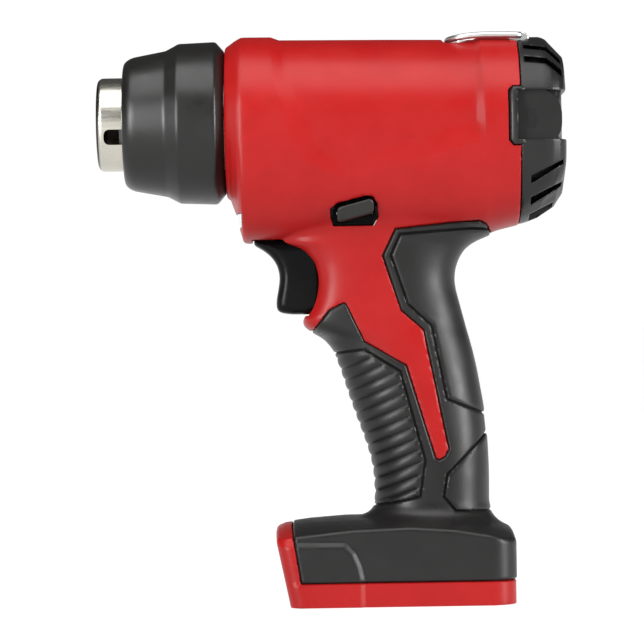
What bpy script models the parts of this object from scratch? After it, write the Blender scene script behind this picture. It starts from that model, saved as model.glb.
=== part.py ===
"""Cordless heat gun, as it comes apart on a bench. Sizes are in millimetres and become metres in the meshes.

The air axis runs along X with the outlet at -X, the grip hangs down -Z, and Y is across the tool.
The origin is on the surface that the foot stands on, below the middle of the tool's length.
"""
import math

import bmesh
import bpy
from mathutils import Matrix, Vector
from mathutils.geometry import delaunay_2d_cdt

MM = 0.001
GAP = 0.3                    # air left between two pieces that touch on the real tool

# Driving sizes: where the big shapes are
AXIS_Z = 167.0               # height of the air axis above the foot's base
NOZZLE_TIP_X = -81.2
SHIELD_FRONT_X = -72.0
BARREL_FRONT_X = -36.5
BARREL_REAR_X = 65.8
CAP_DEPTH = 15.5             # how far the rear cap reaches behind the barrel

# Barrel
BARREL_RADIUS = 28.5
COLLAR_RISE = 1.2            # the front collar stands this much proud of the barrel
BARREL_DROP = 42.2           # from the axis down to the barrel's flat belly
BARREL_WALL = 2.4
FRONT_WALL = 3.0
BARREL_SIDES = 24
INNER_SIDES = 16

# Grip and foot
GRIP_HALF_WIDTH = 17.0
GRIP_WALL = 3.4
SKIN_THICKNESS = 1.6         # soft overmould on the grip and foot
FOOT_TOP_Z = 28.0
FOOT_HALF_WIDTH = 38.0
FOOT_FRONT_X = -21.0
FOOT_REAR_X = 62.5
RIM_HEIGHT = 8.1             # red rim left showing under the overmould
GRIP_SIDES = 24

# Battery bay in the foot
BAY_HALF_WIDTH = 31.0
BAY_HEIGHT = 15.8
BAY_REAR_X = 57.0
BAY_CEILING = 2.4
RAIL_WIDTH = 4.5
RAIL_HEIGHT = 3.0
RAIL_Z = 2.5

# Outlet
NOZZLE_RADIUS = 16.3
NOZZLE_WALL = 0.9
NOZZLE_LIP = 2.2             # radius of the rolled lip
NOZZLE_FLANGE = 3.8          # how far the rear flange stands out
NOZZLE_REAR_X = -24.8
SLOT_WIDTH = 5.5
SLOT_COUNT = 3
SHIELD_RADIUS = 28.5
SHIELD_WALL = 2.4
SHIELD_AIR = 1.3             # air between nozzle and shield

# Heater
SLEEVE_WALL = 0.6
SLEEVE_AIR = 0.5             # air round the mica sleeve
VANE_THICKNESS = 0.9
COIL_TURNS = 8
COIL_WIRE_RADIUS = 0.6
COIL_AIR = 0.5

# Air mover
MOTOR_RADIUS = 14.0
MOTOR_LENGTH = 32.0
SHAFT_RADIUS = 1.6
SHROUD_AIR = 2.1             # between the fan shroud and the housing
SHROUD_WALL = 1.4
SHROUD_LENGTH = 20.0
IMPELLER_AIR = 0.9           # running clearance of the impeller in its shroud
IMPELLER_BLADES = 9
DUCT_LAP = 1.1               # the air duct lands this far outside the nozzle

# Trigger, switch and lock
TRIGGER_HALF_WIDTH = 10.0
TRIGGER_SIDE_AIR = 0.6
TRIGGER_HEIGHT = 26.2
TRIGGER_TRAVEL = 6.5
PLUNGER_RADIUS = 2.5
SWITCH_HALF_WIDTH = 9.0
SWITCH_LENGTH = 26.0
SWITCH_HEIGHT = 22.0
SPRING_RADIUS = 4.2
SPRING_WIRE_RADIUS = 0.25
LOCK_TRAVEL = 6.0
LOCK_LENGTH = 12.7
LOCK_HEIGHT = 4.7

# Hanging bail
BAIL_RADIUS = 1.2
BAIL_HALF_WIDTH = 10.5
BAIL_LENGTH = 24.7
BAIL_PIVOT_X = 66.0
BRACKET_HALF_WIDTH = 7.5
BRACKET_LENGTH = 7.0

# Fasteners and leads
SCREW_RADIUS = 1.6
SCREW_HEAD_RADIUS = 3.1
SCREW_HEAD_HEIGHT = 2.2
BOSS_RADIUS = 4.4
LEAD_RADIUS = 1.1

BARREL_BOTTOM_Z = AXIS_Z - BARREL_DROP
SHROUD_RADIUS = BARREL_RADIUS - BARREL_WALL - SHROUD_AIR
DUCT_FRONT_RADIUS = NOZZLE_RADIUS + DUCT_LAP
CAP_FRONT_X = BARREL_REAR_X + GAP
CAP_REAR_X = CAP_FRONT_X + CAP_DEPTH
CEILING_TOP_Z = BAY_HEIGHT + BAY_CEILING
SHIELD_REAR_X = BARREL_FRONT_X - GAP


# ---------------------------------------------------------------- scene and materials

def clear_scene():
    for obj in list(bpy.data.objects):
        bpy.data.objects.remove(obj, do_unlink=True)


def material(name, colour, roughness, metallic=0.0):
    found = bpy.data.materials.get(name)
    if found:
        return found
    made = bpy.data.materials.new(name)
    made.use_nodes = True
    shader = made.node_tree.nodes["Principled BSDF"]
    shader.inputs["Base Color"].default_value = (*colour, 1.0)
    shader.inputs["Roughness"].default_value = roughness
    shader.inputs["Metallic"].default_value = metallic
    made.diffuse_color = (*colour, 1.0)
    return made


def shell_red():
    return material("shell_red", (0.62, 0.03, 0.025), 0.38)


def grip_rubber():
    return material("grip_rubber", (0.03, 0.028, 0.027), 0.55)


def black_plastic():
    return material("black_plastic", (0.025, 0.024, 0.024), 0.42)


def nozzle_steel():
    return material("nozzle_steel", (0.72, 0.71, 0.66), 0.22, 1.0)


def bright_steel():
    return material("bright_steel", (0.66, 0.67, 0.68), 0.3, 1.0)


def copper():
    return material("copper", (0.8, 0.45, 0.25), 0.35, 1.0)


def mica():
    return material("mica", (0.62, 0.55, 0.42), 0.7)


def grey_plastic():
    return material("grey_plastic", (0.32, 0.33, 0.34), 0.5)


def board_green():
    return material("board_green", (0.02, 0.14, 0.06), 0.5)


def clear_lens():
    return material("clear_lens", (0.85, 0.87, 0.9), 0.1)


def lead_red():
    return material("lead_red", (0.5, 0.02, 0.02), 0.5)


def lead_black():
    return material("lead_black", (0.02, 0.02, 0.02), 0.5)


def lead_white():
    return material("lead_white", (0.75, 0.73, 0.68), 0.6)


# ---------------------------------------------------------------- mesh helpers

def place(name, bm, finish=None, origin=(0, 0, 0), smooth_angle=35.0):
    """Makes an object from a bmesh drawn in millimetres, with its origin at the given point."""
    bmesh.ops.recalc_face_normals(bm, faces=bm.faces)
    bmesh.ops.connect_verts_nonplanar(bm, angle_limit=0.0003, faces=bm.faces)
    shift = Matrix.Translation(-Vector(origin))
    bmesh.ops.transform(bm, matrix=Matrix.Scale(MM, 4) @ shift, verts=bm.verts)
    mesh = bpy.data.meshes.new(name)
    bm.to_mesh(mesh)
    bm.free()
    mesh.shade_smooth()
    mesh.set_sharp_from_angle(angle=math.radians(smooth_angle))
    obj = bpy.data.objects.new(name, mesh)
    obj.location = Vector(origin) * MM
    bpy.context.scene.collection.objects.link(obj)
    if finish:
        mesh.materials.append(finish)
    return obj


def skin_rings(rings, closed=False):
    """Bridges rings of equal length; the ends are capped unless the rings close on themselves."""
    bm = bmesh.new()
    loops = [[bm.verts.new(p) for p in ring] for ring in rings]
    count = len(rings[0])
    last = len(loops) if closed else len(loops) - 1
    for i in range(last):
        a, b = loops[i], loops[(i + 1) % len(loops)]
        for k in range(count):
            n = (k + 1) % count
            bm.faces.new((a[k], a[n], b[n], b[k]))
    if not closed:
        bm.faces.new(loops[0])
        bm.faces.new(loops[-1])
    return bm


def turned(profile, sides=24, closed=False, centre=(0.0, None)):
    """Turns (x, radius) points about the air axis, or about a line through the given (y, z)."""
    cy, cz = centre[0], AXIS_Z if centre[1] is None else centre[1]
    turn = [2 * math.pi * k / sides for k in range(sides)]
    return skin_rings([[(x, cy + r * math.cos(a), cz + r * math.sin(a)) for a in turn] for x, r in profile], closed)


def cross_bar(x, z, radius, y_low, y_high, sides=14):
    """A round bar across the tool."""
    turn = [2 * math.pi * k / sides for k in range(sides)]
    return skin_rings([[(x + radius * math.cos(a), y, z + radius * math.sin(a)) for a in turn]
                       for y in (y_low, y_high)])


def block(x0, x1, y0, y1, z0, z1):
    return skin_rings([[(x0, y0, z), (x1, y0, z), (x1, y1, z), (x0, y1, z)] for z in (z0, z1)])


def side_prism(outline, y0, y1):
    """Carries an (x, z) outline across the tool."""
    return skin_rings([[(x, y, z) for x, z in outline] for y in (y0, y1)])


def together(bms):
    """Puts shapes that don't touch each other in one bmesh."""
    whole = bmesh.new()
    for bm in bms:
        mesh = bpy.data.meshes.new("shape")
        bm.to_mesh(mesh)
        bm.free()
        whole.from_mesh(mesh)
        bpy.data.meshes.remove(mesh)
    return whole


def split_face(bm, face):
    """Replaces one many-sided face by triangles, also where its corners lie on one line."""
    face.normal_update()
    corners = list(face.verts)
    across = face.normal.orthogonal().normalized()
    up = face.normal.cross(across)
    flat = [Vector(((v.co - corners[0].co).dot(across), (v.co - corners[0].co).dot(up))) / MM for v in corners]
    points, _, triangles, sources, *_ = delaunay_2d_cdt(flat, [], [list(range(len(flat)))], 1, 1e-6)
    if len(points) != len(flat):
        return
    rows = [[corners[sources[i][0]] for i in triangle] for triangle in triangles]
    bm.faces.remove(face)
    for row in rows:
        bm.faces.new(row)


def tidy(mesh, split):
    """Merges points that a Boolean left side by side, and splits its many-sided faces when asked to."""
    bm = bmesh.new()
    bm.from_mesh(mesh)
    bmesh.ops.remove_doubles(bm, verts=bm.verts, dist=0.002 * MM)
    if split:
        for face in [f for f in bm.faces if len(f.verts) > 4]:
            split_face(bm, face)
    bm.to_mesh(mesh)
    bm.free()


def combine(target, bms, operation):
    """Applies one Boolean per tool shape to the target object."""
    for bm in bms:
        tool = bm if isinstance(bm, bpy.types.Object) else place("tool", bm)
        modifier = target.modifiers.new(operation.lower(), "BOOLEAN")
        modifier.operation = operation
        modifier.object = tool
        modifier.solver = "EXACT"
        graph = bpy.context.evaluated_depsgraph_get()
        mesh = bpy.data.meshes.new_from_object(target.evaluated_get(graph))
        target.modifiers.clear()
        target.data = mesh
        tidy(mesh, False)
        bpy.data.objects.remove(tool, do_unlink=True)
    return target


def cut(target, *bms):
    return combine(target, bms, "DIFFERENCE")


def join(target, *bms):
    return combine(target, bms, "UNION")


def keep(target, *bms):
    return combine(target, bms, "INTERSECT")


def finish_shell(obj, name, finish, angle=35.0):
    """Names a Boolean result, cuts its faces into triangles and shades it."""
    obj.name = name
    mesh = obj.data
    tidy(mesh, True)
    mesh.name = name
    mesh.materials.clear()
    mesh.materials.append(finish)
    mesh.shade_smooth()
    mesh.set_sharp_from_angle(angle=math.radians(angle))
    return obj


def cloned(obj, name):
    twin = obj.copy()
    twin.data = obj.data.copy()
    twin.name = name
    bpy.context.scene.collection.objects.link(twin)
    return twin


def mirrored_halves(whole, names, finish):
    """Splits a solid at the middle plane into a left piece at -Y and a right piece at +Y."""
    far = 200.0
    left = keep(cloned(whole, names[0]), block(-far, far, -far, -GAP / 2, -far, 2 * far))
    right = keep(cloned(whole, names[1]), block(-far, far, GAP / 2, far, -far, 2 * far))
    bpy.data.objects.remove(whole, do_unlink=True)
    return [finish_shell(piece, name, finish) for piece, name in zip((left, right), names)]


# ---------------------------------------------------------------- the outer shape

def power_curve(angle, exponent):
    """A point on a unit superellipse."""
    c, s = math.cos(angle), math.sin(angle)
    return (math.copysign(abs(c) ** (2 / exponent), c), math.copysign(abs(s) ** (2 / exponent), s))


def barrel_ring(x, rise, drop, half_width, inset, sides=BARREL_SIDES):
    """One cross-section: round above the air axis, and a fuller curve down to the belly below it."""
    rise, drop, half_width = rise - inset, drop - inset, half_width - inset
    belly = 2.0 + 1.4 * max(0.0, drop / half_width - 1.0)
    ring = []
    for k in range(sides):
        angle = 2 * math.pi * k / sides
        y, z = power_curve(angle, 2.0 if math.sin(angle) >= 0 else belly)
        ring.append((x, half_width * y, AXIS_Z + (rise if z >= 0 else drop) * z))
    return ring


def barrel_stations():
    """(x, rise above the axis, drop below it, half width) from the front joint to the rear joint."""
    collar = BARREL_RADIUS + COLLAR_RISE
    chin = BARREL_FRONT_X + 5.7
    return [(BARREL_FRONT_X, collar - 3.7, collar - 3.7, collar - 3.7),
            (BARREL_FRONT_X + 3.1, collar - 1.5, BARREL_DROP - 10.0, collar - 1.5),
            (chin, collar, BARREL_DROP, collar - 0.3),
            (chin + 10.3, collar + 0.1, BARREL_DROP, collar - 0.1),
            (chin + 12.8, BARREL_RADIUS, BARREL_DROP, BARREL_RADIUS + 0.4),
            (20.0, BARREL_RADIUS - 0.1, BARREL_DROP - 0.7, BARREL_RADIUS + 0.4),
            (BARREL_REAR_X - 15.0, BARREL_RADIUS - 0.5, BARREL_DROP - 2.2, BARREL_RADIUS + 0.4),
            (BARREL_REAR_X - 12.8, BARREL_RADIUS, BARREL_DROP - 2.7, BARREL_RADIUS + 0.7),
            (BARREL_REAR_X, BARREL_RADIUS - 0.2, BARREL_DROP - 5.4, BARREL_RADIUS + 0.5)]


def barrel_solid(inset=0.0, rear_x=BARREL_REAR_X, sides=BARREL_SIDES):
    """The barrel, or the space inside it when it is inset. An inset one also stops short of the front."""
    front_x = BARREL_FRONT_X + (FRONT_WALL if inset else 0.0)
    stations = [s for s in barrel_stations() if s[0] >= front_x - 0.2]
    if inset:
        stations[0] = (front_x, *stations[0][1:])
    last = stations[-1]
    if rear_x > last[0]:
        stations.append((rear_x, *last[1:]))
    return skin_rings([barrel_ring(*s, inset, sides) for s in stations])


def grip_stations():
    """(z, front x, rear x, half width, exponent) down the grip and over the foot.

    The upper stations hang from the barrel's belly, so that the trigger stays in its arch. The lower
    ones share out the grip's length down to the foot.
    """
    w = GRIP_HALF_WIDTH
    arch = [(-13.0, -2.0, 40.0, w - 2.0), (-3.6, -9.0, 56.0, w), (0.2, -13.6, 49.3, w + 0.3),
            (2.2, -11.4, 46.4, w + 0.2), (4.6, -9.0, 44.5, w), (7.4, -7.0, 43.0, w), (13.8, -5.7, 41.8, w),
            (20.8, -7.0, 43.3, w), (24.3, -8.4, 44.3, w - 0.3), (28.2, -10.5, 45.0, w - 0.6),
            (30.2, -10.2, 45.6, w - 0.7), (31.4, -7.8, 46.0, w - 0.6), (32.8, -4.4, 46.3, w - 0.4)]
    palm_top_z = BARREL_BOTTOM_Z - 34.2
    palm = [(0.0, -2.4, 46.8, w - 0.4), (0.065, 0.2, 47.8, w - 0.2), (0.17, 2.4, 49.2, w), (0.28, 4.4, 50.4, w),
            (0.39, 6.8, 51.4, w + 0.1), (0.506, 9.5, 52.2, w + 0.2), (0.617, 11.8, 52.6, w + 0.4),
            (0.71, 13.1, 52.9, w + 0.5), (0.825, 13.5, 52.8, w + 0.8), (0.9, 13.4, 52.8, w + 1.3)]
    f, r, hw = FOOT_FRONT_X, FOOT_REAR_X, FOOT_HALF_WIDTH
    foot = [(FOOT_TOP_Z + 3.4, 12.2, 53.2, w + 2.4, 2.4), (FOOT_TOP_Z + 1.8, 6.0, 55.2, w + 5.0, 3.2),
            (FOOT_TOP_Z + 0.4, f + 14.0, r - 4.3, hw - 9.0, 4.6), (FOOT_TOP_Z - 0.8, f + 5.4, r - 2.0, hw - 4.0, 6.0),
            (FOOT_TOP_Z - 2.6, f + 0.8, r - 0.6, hw - 1.2, 7.0), (FOOT_TOP_Z - 4.0, f, r, hw - 0.4, 8.0),
            (RIM_HEIGHT, f + 3.3, r, hw, 8.0), (0.0, f + 4.8, r - 0.5, hw, 8.0)]
    upper = [(BARREL_BOTTOM_Z - drop, front, rear, half, 2.3) for drop, front, rear, half in arch]
    lower = [(palm_top_z - t * (palm_top_z - FOOT_TOP_Z), front, rear, half, 2.3) for t, front, rear, half in palm]
    return upper + lower + foot


def grip_solid(inset=0.0, bottom_z=0.0, sides=GRIP_SIDES):
    """The grip and foot, or the space inside them. The foot's top moves down with the inset."""
    rings = []
    for z, front, rear, half, exponent in grip_stations():
        if inset and z < FOOT_TOP_Z + 4.0:
            z -= inset
        z = max(z, bottom_z)
        if rings and z >= rings[-1][0][2] - 0.2:
            continue
        middle, reach = (front + rear) / 2, (rear - front) / 2 - inset
        angles = [2 * math.pi * k / sides for k in range(sides)]
        curve = [power_curve(a, exponent) for a in angles]
        rings.append([(middle + reach * x, (half - inset) * y, z) for x, y in curve])
    return skin_rings(rings)


def outer_form(inset=0.0):
    return join(place("form", barrel_solid(inset)), grip_solid(inset))


def skin_outline(shrink=0.0):
    """Where the soft overmould lies, seen from the side: round a red spear that runs down the grip."""
    s, up = shrink, BARREL_BOTTOM_Z - 125.0
    spear = [(-3.0 + s, 99.5 + up - s), (3.7 - s, 103.7 + up - s), (10.6 - s, 90.2 + up - s), (25.0 - s, 81.7 + up - s),
             (34.6 - s, 49.4 + up - s), (37.2, 49.8 + up - s), (38.8 + s, 52.4 + up - s), (30.8 + s, 93.6 + up),
             (23.1 + s, 100.5 + up), (17.0 + s, 119.6 + up), (21.6 + s, 128.9 + up - s),
             (41.1, 130.8 + up - s), (50.8, 131.3 + up - s), (55.0, 127.4 + up - s), (90.0, 121.0 + up - s)]
    plate_top = FOOT_FRONT_X + 5.3 + s
    return spear + [(90.0, RIM_HEIGHT + s), (FOOT_FRONT_X + 8.4 + s, RIM_HEIGHT + s), (plate_top, FOOT_TOP_Z - 0.5),
                    (plate_top, FOOT_TOP_Z + 10.0), (-25.0, BARREL_BOTTOM_Z - 40.0 - s), (-14.0, BARREL_BOTTOM_Z - 33.5 - s),
                    (-7.4, BARREL_BOTTOM_Z - 31.2 - s)]


# ---------------------------------------------------------------- openings shared by neighbours

def nozzle_bore():
    r = NOZZLE_RADIUS + 0.7
    return turned([(BARREL_FRONT_X - 5, r), (BARREL_FRONT_X + FRONT_WALL + 2, r)], 24)


def trigger_slot():
    half = TRIGGER_HALF_WIDTH + TRIGGER_SIDE_AIR
    top = BARREL_BOTTOM_Z + BARREL_WALL + 1.5
    return block(trigger_nose_x() - 0.6, 12.0, -half, half, trigger_bottom_z() - 0.4, top)


def lock_opening():
    """The hole in each side that the lock's knob moves in."""
    x0, x1, z0 = lock_x() - 2.1, lock_x() + LOCK_LENGTH + 1.6, lock_z() - 1.3
    top = lock_z() + LOCK_HEIGHT + 4.2
    return side_prism([(x0 + 0.9, z0), (x1 - 1.6, z0), (x1, z0 + 2.8), (x1 - 0.4, top - 2.6), (x1 - 3.9, top),
                       (x0 + 7.0, top - 2.4), (x0, top - 4.4), (x0, z0 + 2.8)], -60, 60)


def cap_tab_box(side, grow=0.0):
    y0, y1 = (22.0, 60.0) if side > 0 else (-60.0, -22.0)
    return block(BARREL_REAR_X - 4.8 - grow, BARREL_REAR_X + 4.0, y0, y1, AXIS_Z - 10.4 - grow, AXIS_Z + 9.6 + grow)


def bracket_pocket():
    g = GAP
    x0 = BAIL_PIVOT_X - BRACKET_LENGTH / 2
    half = BRACKET_HALF_WIDTH + g
    return block(x0 - g, x0 + BRACKET_LENGTH + g, -half, half, bracket_bottom_z() - g, AXIS_Z + 60)


def pin_relief():
    """Room for the bail's pins, and for its legs as they swing up."""
    x, z = BAIL_PIVOT_X, bail_z()
    return block(x - 2.2, x + 2.2, -BAIL_HALF_WIDTH - 0.4, BAIL_HALF_WIDTH + 0.4, z - BAIL_RADIUS - 0.5, z + 40)


def finger_scoop():
    """The hollow under the bail's bow, so that a fingertip can lift it."""
    x0 = BAIL_PIVOT_X - BAIL_LENGTH - 1.9
    floor = AXIS_Z + BARREL_RADIUS - 2.8
    return side_prism([(x0, floor + 9), (x0, floor + 1.4), (x0 + 1.4, floor), (x0 + 7.2, floor), (x0 + 9.6, floor + 4),
                       (x0 + 9.6, floor + 9)], -BAIL_HALF_WIDTH + 0.7, BAIL_HALF_WIDTH - 0.7)


def lens_window(grow=0.0):
    """The slanted window in the chin for the work light."""
    x = BARREL_FRONT_X + 3.1
    z = BARREL_BOTTOM_Z + 5.0
    return block(x - 6, x + 1.9 + grow, -6.0 - grow, 6.0 + grow, z - grow, z + 5.0 + grow)


def screw_places():
    """(x, z, distance of the head's seat from the middle plane) for each housing screw."""
    r = BARREL_RADIUS
    low = BARREL_BOTTOM_Z
    return [(BARREL_FRONT_X + 12.5, low + 6.2, 16.2), (BARREL_FRONT_X + 24.5, AXIS_Z + r - 6.2, 12.0),
            (BARREL_REAR_X - 7.8, low + 9.2, 16.2), (42.0, low + 11.2, 16.2),
            (22.0, low - 39.0, 12.5), (36.0, FOOT_TOP_Z + 16.0, 13.0),
            (FOOT_FRONT_X + 12.0, FOOT_TOP_Z - 7.2, 26.0), (FOOT_REAR_X - 10.5, FOOT_TOP_Z - 7.2, 26.0)]


SCREW_REACH = 9.0            # how far each screw passes the middle plane


def screw_hole(x, z, seat):
    """Clearance for the shank and the head, from the right side."""
    turn = [2 * math.pi * k / 10 for k in range(10)]
    steps = [(-SCREW_REACH - 1, SCREW_RADIUS + GAP), (seat, SCREW_RADIUS + GAP), (seat, SCREW_HEAD_RADIUS + GAP),
             (60, SCREW_HEAD_RADIUS + GAP)]
    return skin_rings([[(x + r * math.cos(a), y, z + r * math.sin(a)) for a in turn] for y, r in steps])


# ---------------------------------------------------------------- housing and overmould

def build_housing():
    skin = cut(place("skin_zone", side_prism(skin_outline(), -60, 60)), outer_form(SKIN_THICKNESS))
    shell = cut(outer_form(), skin)
    space = join(place("space", barrel_solid(BARREL_WALL, BARREL_REAR_X + 5, INNER_SIDES)),
                 grip_solid(GRIP_WALL, CEILING_TOP_Z, INNER_SIDES))
    shell = cut(shell, space)
    bosses = []
    for x, z, seat in screw_places():
        bosses.append(cross_bar(x, z, BOSS_RADIUS, -min(seat + 1.6, 15.0), seat + 1.6, 10))
    scoop_x = BAIL_PIVOT_X - BAIL_LENGTH - 4.0
    scoop_pad = block(scoop_x, scoop_x + 14, -BAIL_HALF_WIDTH - 1.5, BAIL_HALF_WIDTH + 1.5,
                      AXIS_Z + SHROUD_RADIUS + 0.4, AXIS_Z + BARREL_RADIUS - 1.5)
    pillars = keep(place("pillars", together(bosses)), outer_form(0.8))
    shell = join(shell, pillars, scoop_pad)
    bay = block(-60, BAY_REAR_X, -BAY_HALF_WIDTH, BAY_HALF_WIDTH, -5, BAY_HEIGHT)
    window = block(*terminal_block_x(GAP), -18 - GAP, 18 + GAP, BAY_HEIGHT - 2, CEILING_TOP_Z + 2)
    holes = together([screw_hole(*spot) for spot in screw_places()])
    tabs = together([cap_tab_box(-1, GAP), cap_tab_box(1, GAP)])
    shell = cut(shell, bay, window, nozzle_bore(), trigger_slot(), lock_opening(), lens_window(), tabs,
                bracket_pocket(), pin_relief(), finger_scoop(), holes)
    rails = [block(FOOT_FRONT_X + 7, BAY_REAR_X + 1, *sorted((side * (BAY_HALF_WIDTH - RAIL_WIDTH),
                                                             side * (BAY_HALF_WIDTH + 1))),
                   RAIL_Z, RAIL_Z + RAIL_HEIGHT) for side in (-1, 1)]
    shell = join(shell, *rails)
    return mirrored_halves(shell, ("housing_left", "housing_right"), shell_red())


def build_overmould():
    skin = keep(outer_form(), side_prism(skin_outline(GAP), -60, 60))
    skin = cut(skin, outer_form(SKIN_THICKNESS - GAP))
    heads = [cross_bar(x, z, SCREW_HEAD_RADIUS + GAP, 5, 60, 10) for x, z, _ in screw_places()[-3:]]
    skin = cut(skin, together(heads))
    return mirrored_halves(skin, ("grip_overmould_left", "grip_overmould_right"), grip_rubber())


# ---------------------------------------------------------------- outlet end

def build_heat_shield():
    """Turned shell: blunt nose, two cones, a straight band and a chamfer down to the joint."""
    f, b, r, w = SHIELD_FRONT_X, SHIELD_REAR_X, SHIELD_RADIUS, SHIELD_WALL
    bore = NOZZLE_RADIUS + SHIELD_AIR
    nose = [(f + 1.6 - 1.6 * math.sin(a), r - 7.0 + 1.6 * math.cos(a)) for a in
            (math.radians(d) for d in (90, 60, 30))]
    outside = nose + [(f + 2.4, r - 5.3), (f + 12.6, r - 3.1), (f + 17.8, r - 0.8), (f + 19.0, r - 0.5),
                      (b - 4.2, r), (b, r - 3.6)]
    inside = [(b, r - 5.8), (b - 5.0, r - w), (f + 19.4, r - 0.5 - w), (f + 12.4, r - 3.1 - w),
              (f + w + 1.0, r - 5.5 - w), (f + w, bore), (f, bore)]
    return place("heat_shield", turned(outside + inside, 32, closed=True), black_plastic())


def build_nozzle():
    """Thin steel tube with a rolled lip in front, a flange behind, and three locating slots."""
    r, w, lip = NOZZLE_RADIUS, NOZZLE_WALL, NOZZLE_LIP
    tip, rear = NOZZLE_TIP_X, NOZZLE_REAR_X
    arc = [math.radians(a) for a in (0, 22, 45, 68, 90)]
    outside = [(tip + lip - lip * math.sin(a), r - lip + lip * math.cos(a)) for a in arc]
    inside = [(tip + lip - (lip - w) * math.sin(a), r - lip + (lip - w) * math.cos(a)) for a in reversed(arc)]
    back = [(rear - w, r - w), (rear, r - w), (rear, r + NOZZLE_FLANGE), (rear - w, r + NOZZLE_FLANGE), (rear - w, r)]
    tube = place("nozzle_tube", turned(list(reversed(outside)) + back[::-1] + list(reversed(inside)), 32, closed=True),
                 nozzle_steel())
    slots = []
    for k in range(SLOT_COUNT):
        slot = block(tip + 2.8, tip + 16.0, -r - 3, -r + 6, -SLOT_WIDTH / 2, SLOT_WIDTH / 2)
        spin = Matrix.Rotation(math.radians(18.6 + 360 / SLOT_COUNT * k), 4, "X")
        bmesh.ops.transform(slot, matrix=Matrix.Translation((0, 0, AXIS_Z)) @ spin, verts=slot.verts)
        slots.append(slot)
    return finish_shell(cut(tube, *slots), "nozzle_tube", nozzle_steel())


def build_mounting_ring():
    """Heat-resistant ring that carries the nozzle behind the housing's front wall."""
    x0 = BARREL_FRONT_X + FRONT_WALL + GAP
    x1 = NOZZLE_REAR_X - NOZZLE_WALL - GAP
    inner = NOZZLE_RADIUS + GAP
    outer = min(NOZZLE_RADIUS + NOZZLE_FLANGE + 1.6, BARREL_RADIUS + COLLAR_RISE - 3.7 - BARREL_WALL - GAP)
    return place("nozzle_mounting_ring", turned([(x0, inner), (x0, outer), (x1, outer), (x1, inner)], 32, closed=True),
                 mica())


def sleeve_radius():
    return NOZZLE_RADIUS - NOZZLE_WALL - SLEEVE_AIR


def coil_radius():
    return sleeve_radius() - SLEEVE_WALL - COIL_AIR - COIL_WIRE_RADIUS - 0.6


def build_heater():
    outer, inner = sleeve_radius(), sleeve_radius() - SLEEVE_WALL
    x0, x1 = NOZZLE_TIP_X + 8.0, NOZZLE_REAR_X - 4.0
    place("mica_sleeve", turned([(x0, inner), (x0, outer), (x1, outer), (x1, inner)], 24, closed=True), mica())
    reach = coil_radius() - COIL_WIRE_RADIUS - 2 * COIL_AIR
    half = VANE_THICKNESS / 2
    former = place("heater_former", block(x0 + 2, x1, -reach, reach, AXIS_Z - half, AXIS_Z + half))
    former = join(former, block(x0 + 2, x1, -half, half, AXIS_Z - reach, AXIS_Z + reach))
    finish_shell(former, "heater_former", mica())
    steps = COIL_TURNS * 10
    length = x1 - x0 - 14.0
    line = []
    for k in range(steps + 1):
        angle = 2 * math.pi * k / 10
        line.append((x0 + 6.0 + length * k / steps, coil_radius() * math.cos(angle),
                     AXIS_Z + coil_radius() * math.sin(angle)))
    wire("heating_coil", line, COIL_WIRE_RADIUS, bright_steel(), 5)
    cutout_x = x1 + GAP
    place("thermal_cutout", block(cutout_x, cutout_x + 7.0, -3.0, 3.0, AXIS_Z - 2.0, AXIS_Z + 2.0), black_plastic())


def build_lens():
    x = BARREL_FRONT_X + 3.1
    z = BARREL_BOTTOM_Z + 5.0
    g = GAP
    half = 6.0 - g
    place("led_lens", skin_rings([[(x - 0.5, y, z + 5.0 - g), (x + 1.9 - g, y, z + 5.0 - g), (x + 1.9 - g, y, z + g),
                                   (x + 1.0, y, z + g)] for y in (-half, half)]), clear_lens())
    place("led_board", block(x + 2.8, x + 4.0, -6.5, 6.5, z + 2.0, z + 8.0), board_green())


# ---------------------------------------------------------------- air mover

def shroud_front_x():
    return BARREL_REAR_X - SHROUD_LENGTH - 1.5


def build_shroud():
    """Ring round the impeller, with an inlet lip behind and a spider in front that carries the motor."""
    x0, x1 = shroud_front_x(), shroud_front_x() + SHROUD_LENGTH
    r, w = SHROUD_RADIUS, SHROUD_WALL
    ring = place("fan_shroud", turned([(x0, r - w), (x0, r), (x1, r), (x1, r - 6.5), (x1 - w, r - 6.5),
                                       (x1 - w, r - w)], 32, closed=True))
    plate = [turned([(x0 + 0.6, MOTOR_RADIUS - 6.0), (x0 + 2.6, MOTOR_RADIUS - 6.0)], 20)]
    for k in range(3):
        strut = block(x0 + 0.8, x0 + 2.4, -2.0, 2.0, 5.0, r - w / 2)
        spin = Matrix.Translation((0, 0, AXIS_Z)) @ Matrix.Rotation(math.radians(120 * k + 7), 4, "X")
        bmesh.ops.transform(strut, matrix=spin, verts=strut.verts)
        plate.append(strut)
    ring = join(ring, *plate)
    ring = cut(ring, turned([(x0 - 3, SHAFT_RADIUS + 1.4), (x0 + 6, SHAFT_RADIUS + 1.4)], 16))
    return finish_shell(ring, "fan_shroud", grey_plastic())


def motor_rear_x():
    return shroud_front_x() + 0.6 - GAP


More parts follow.
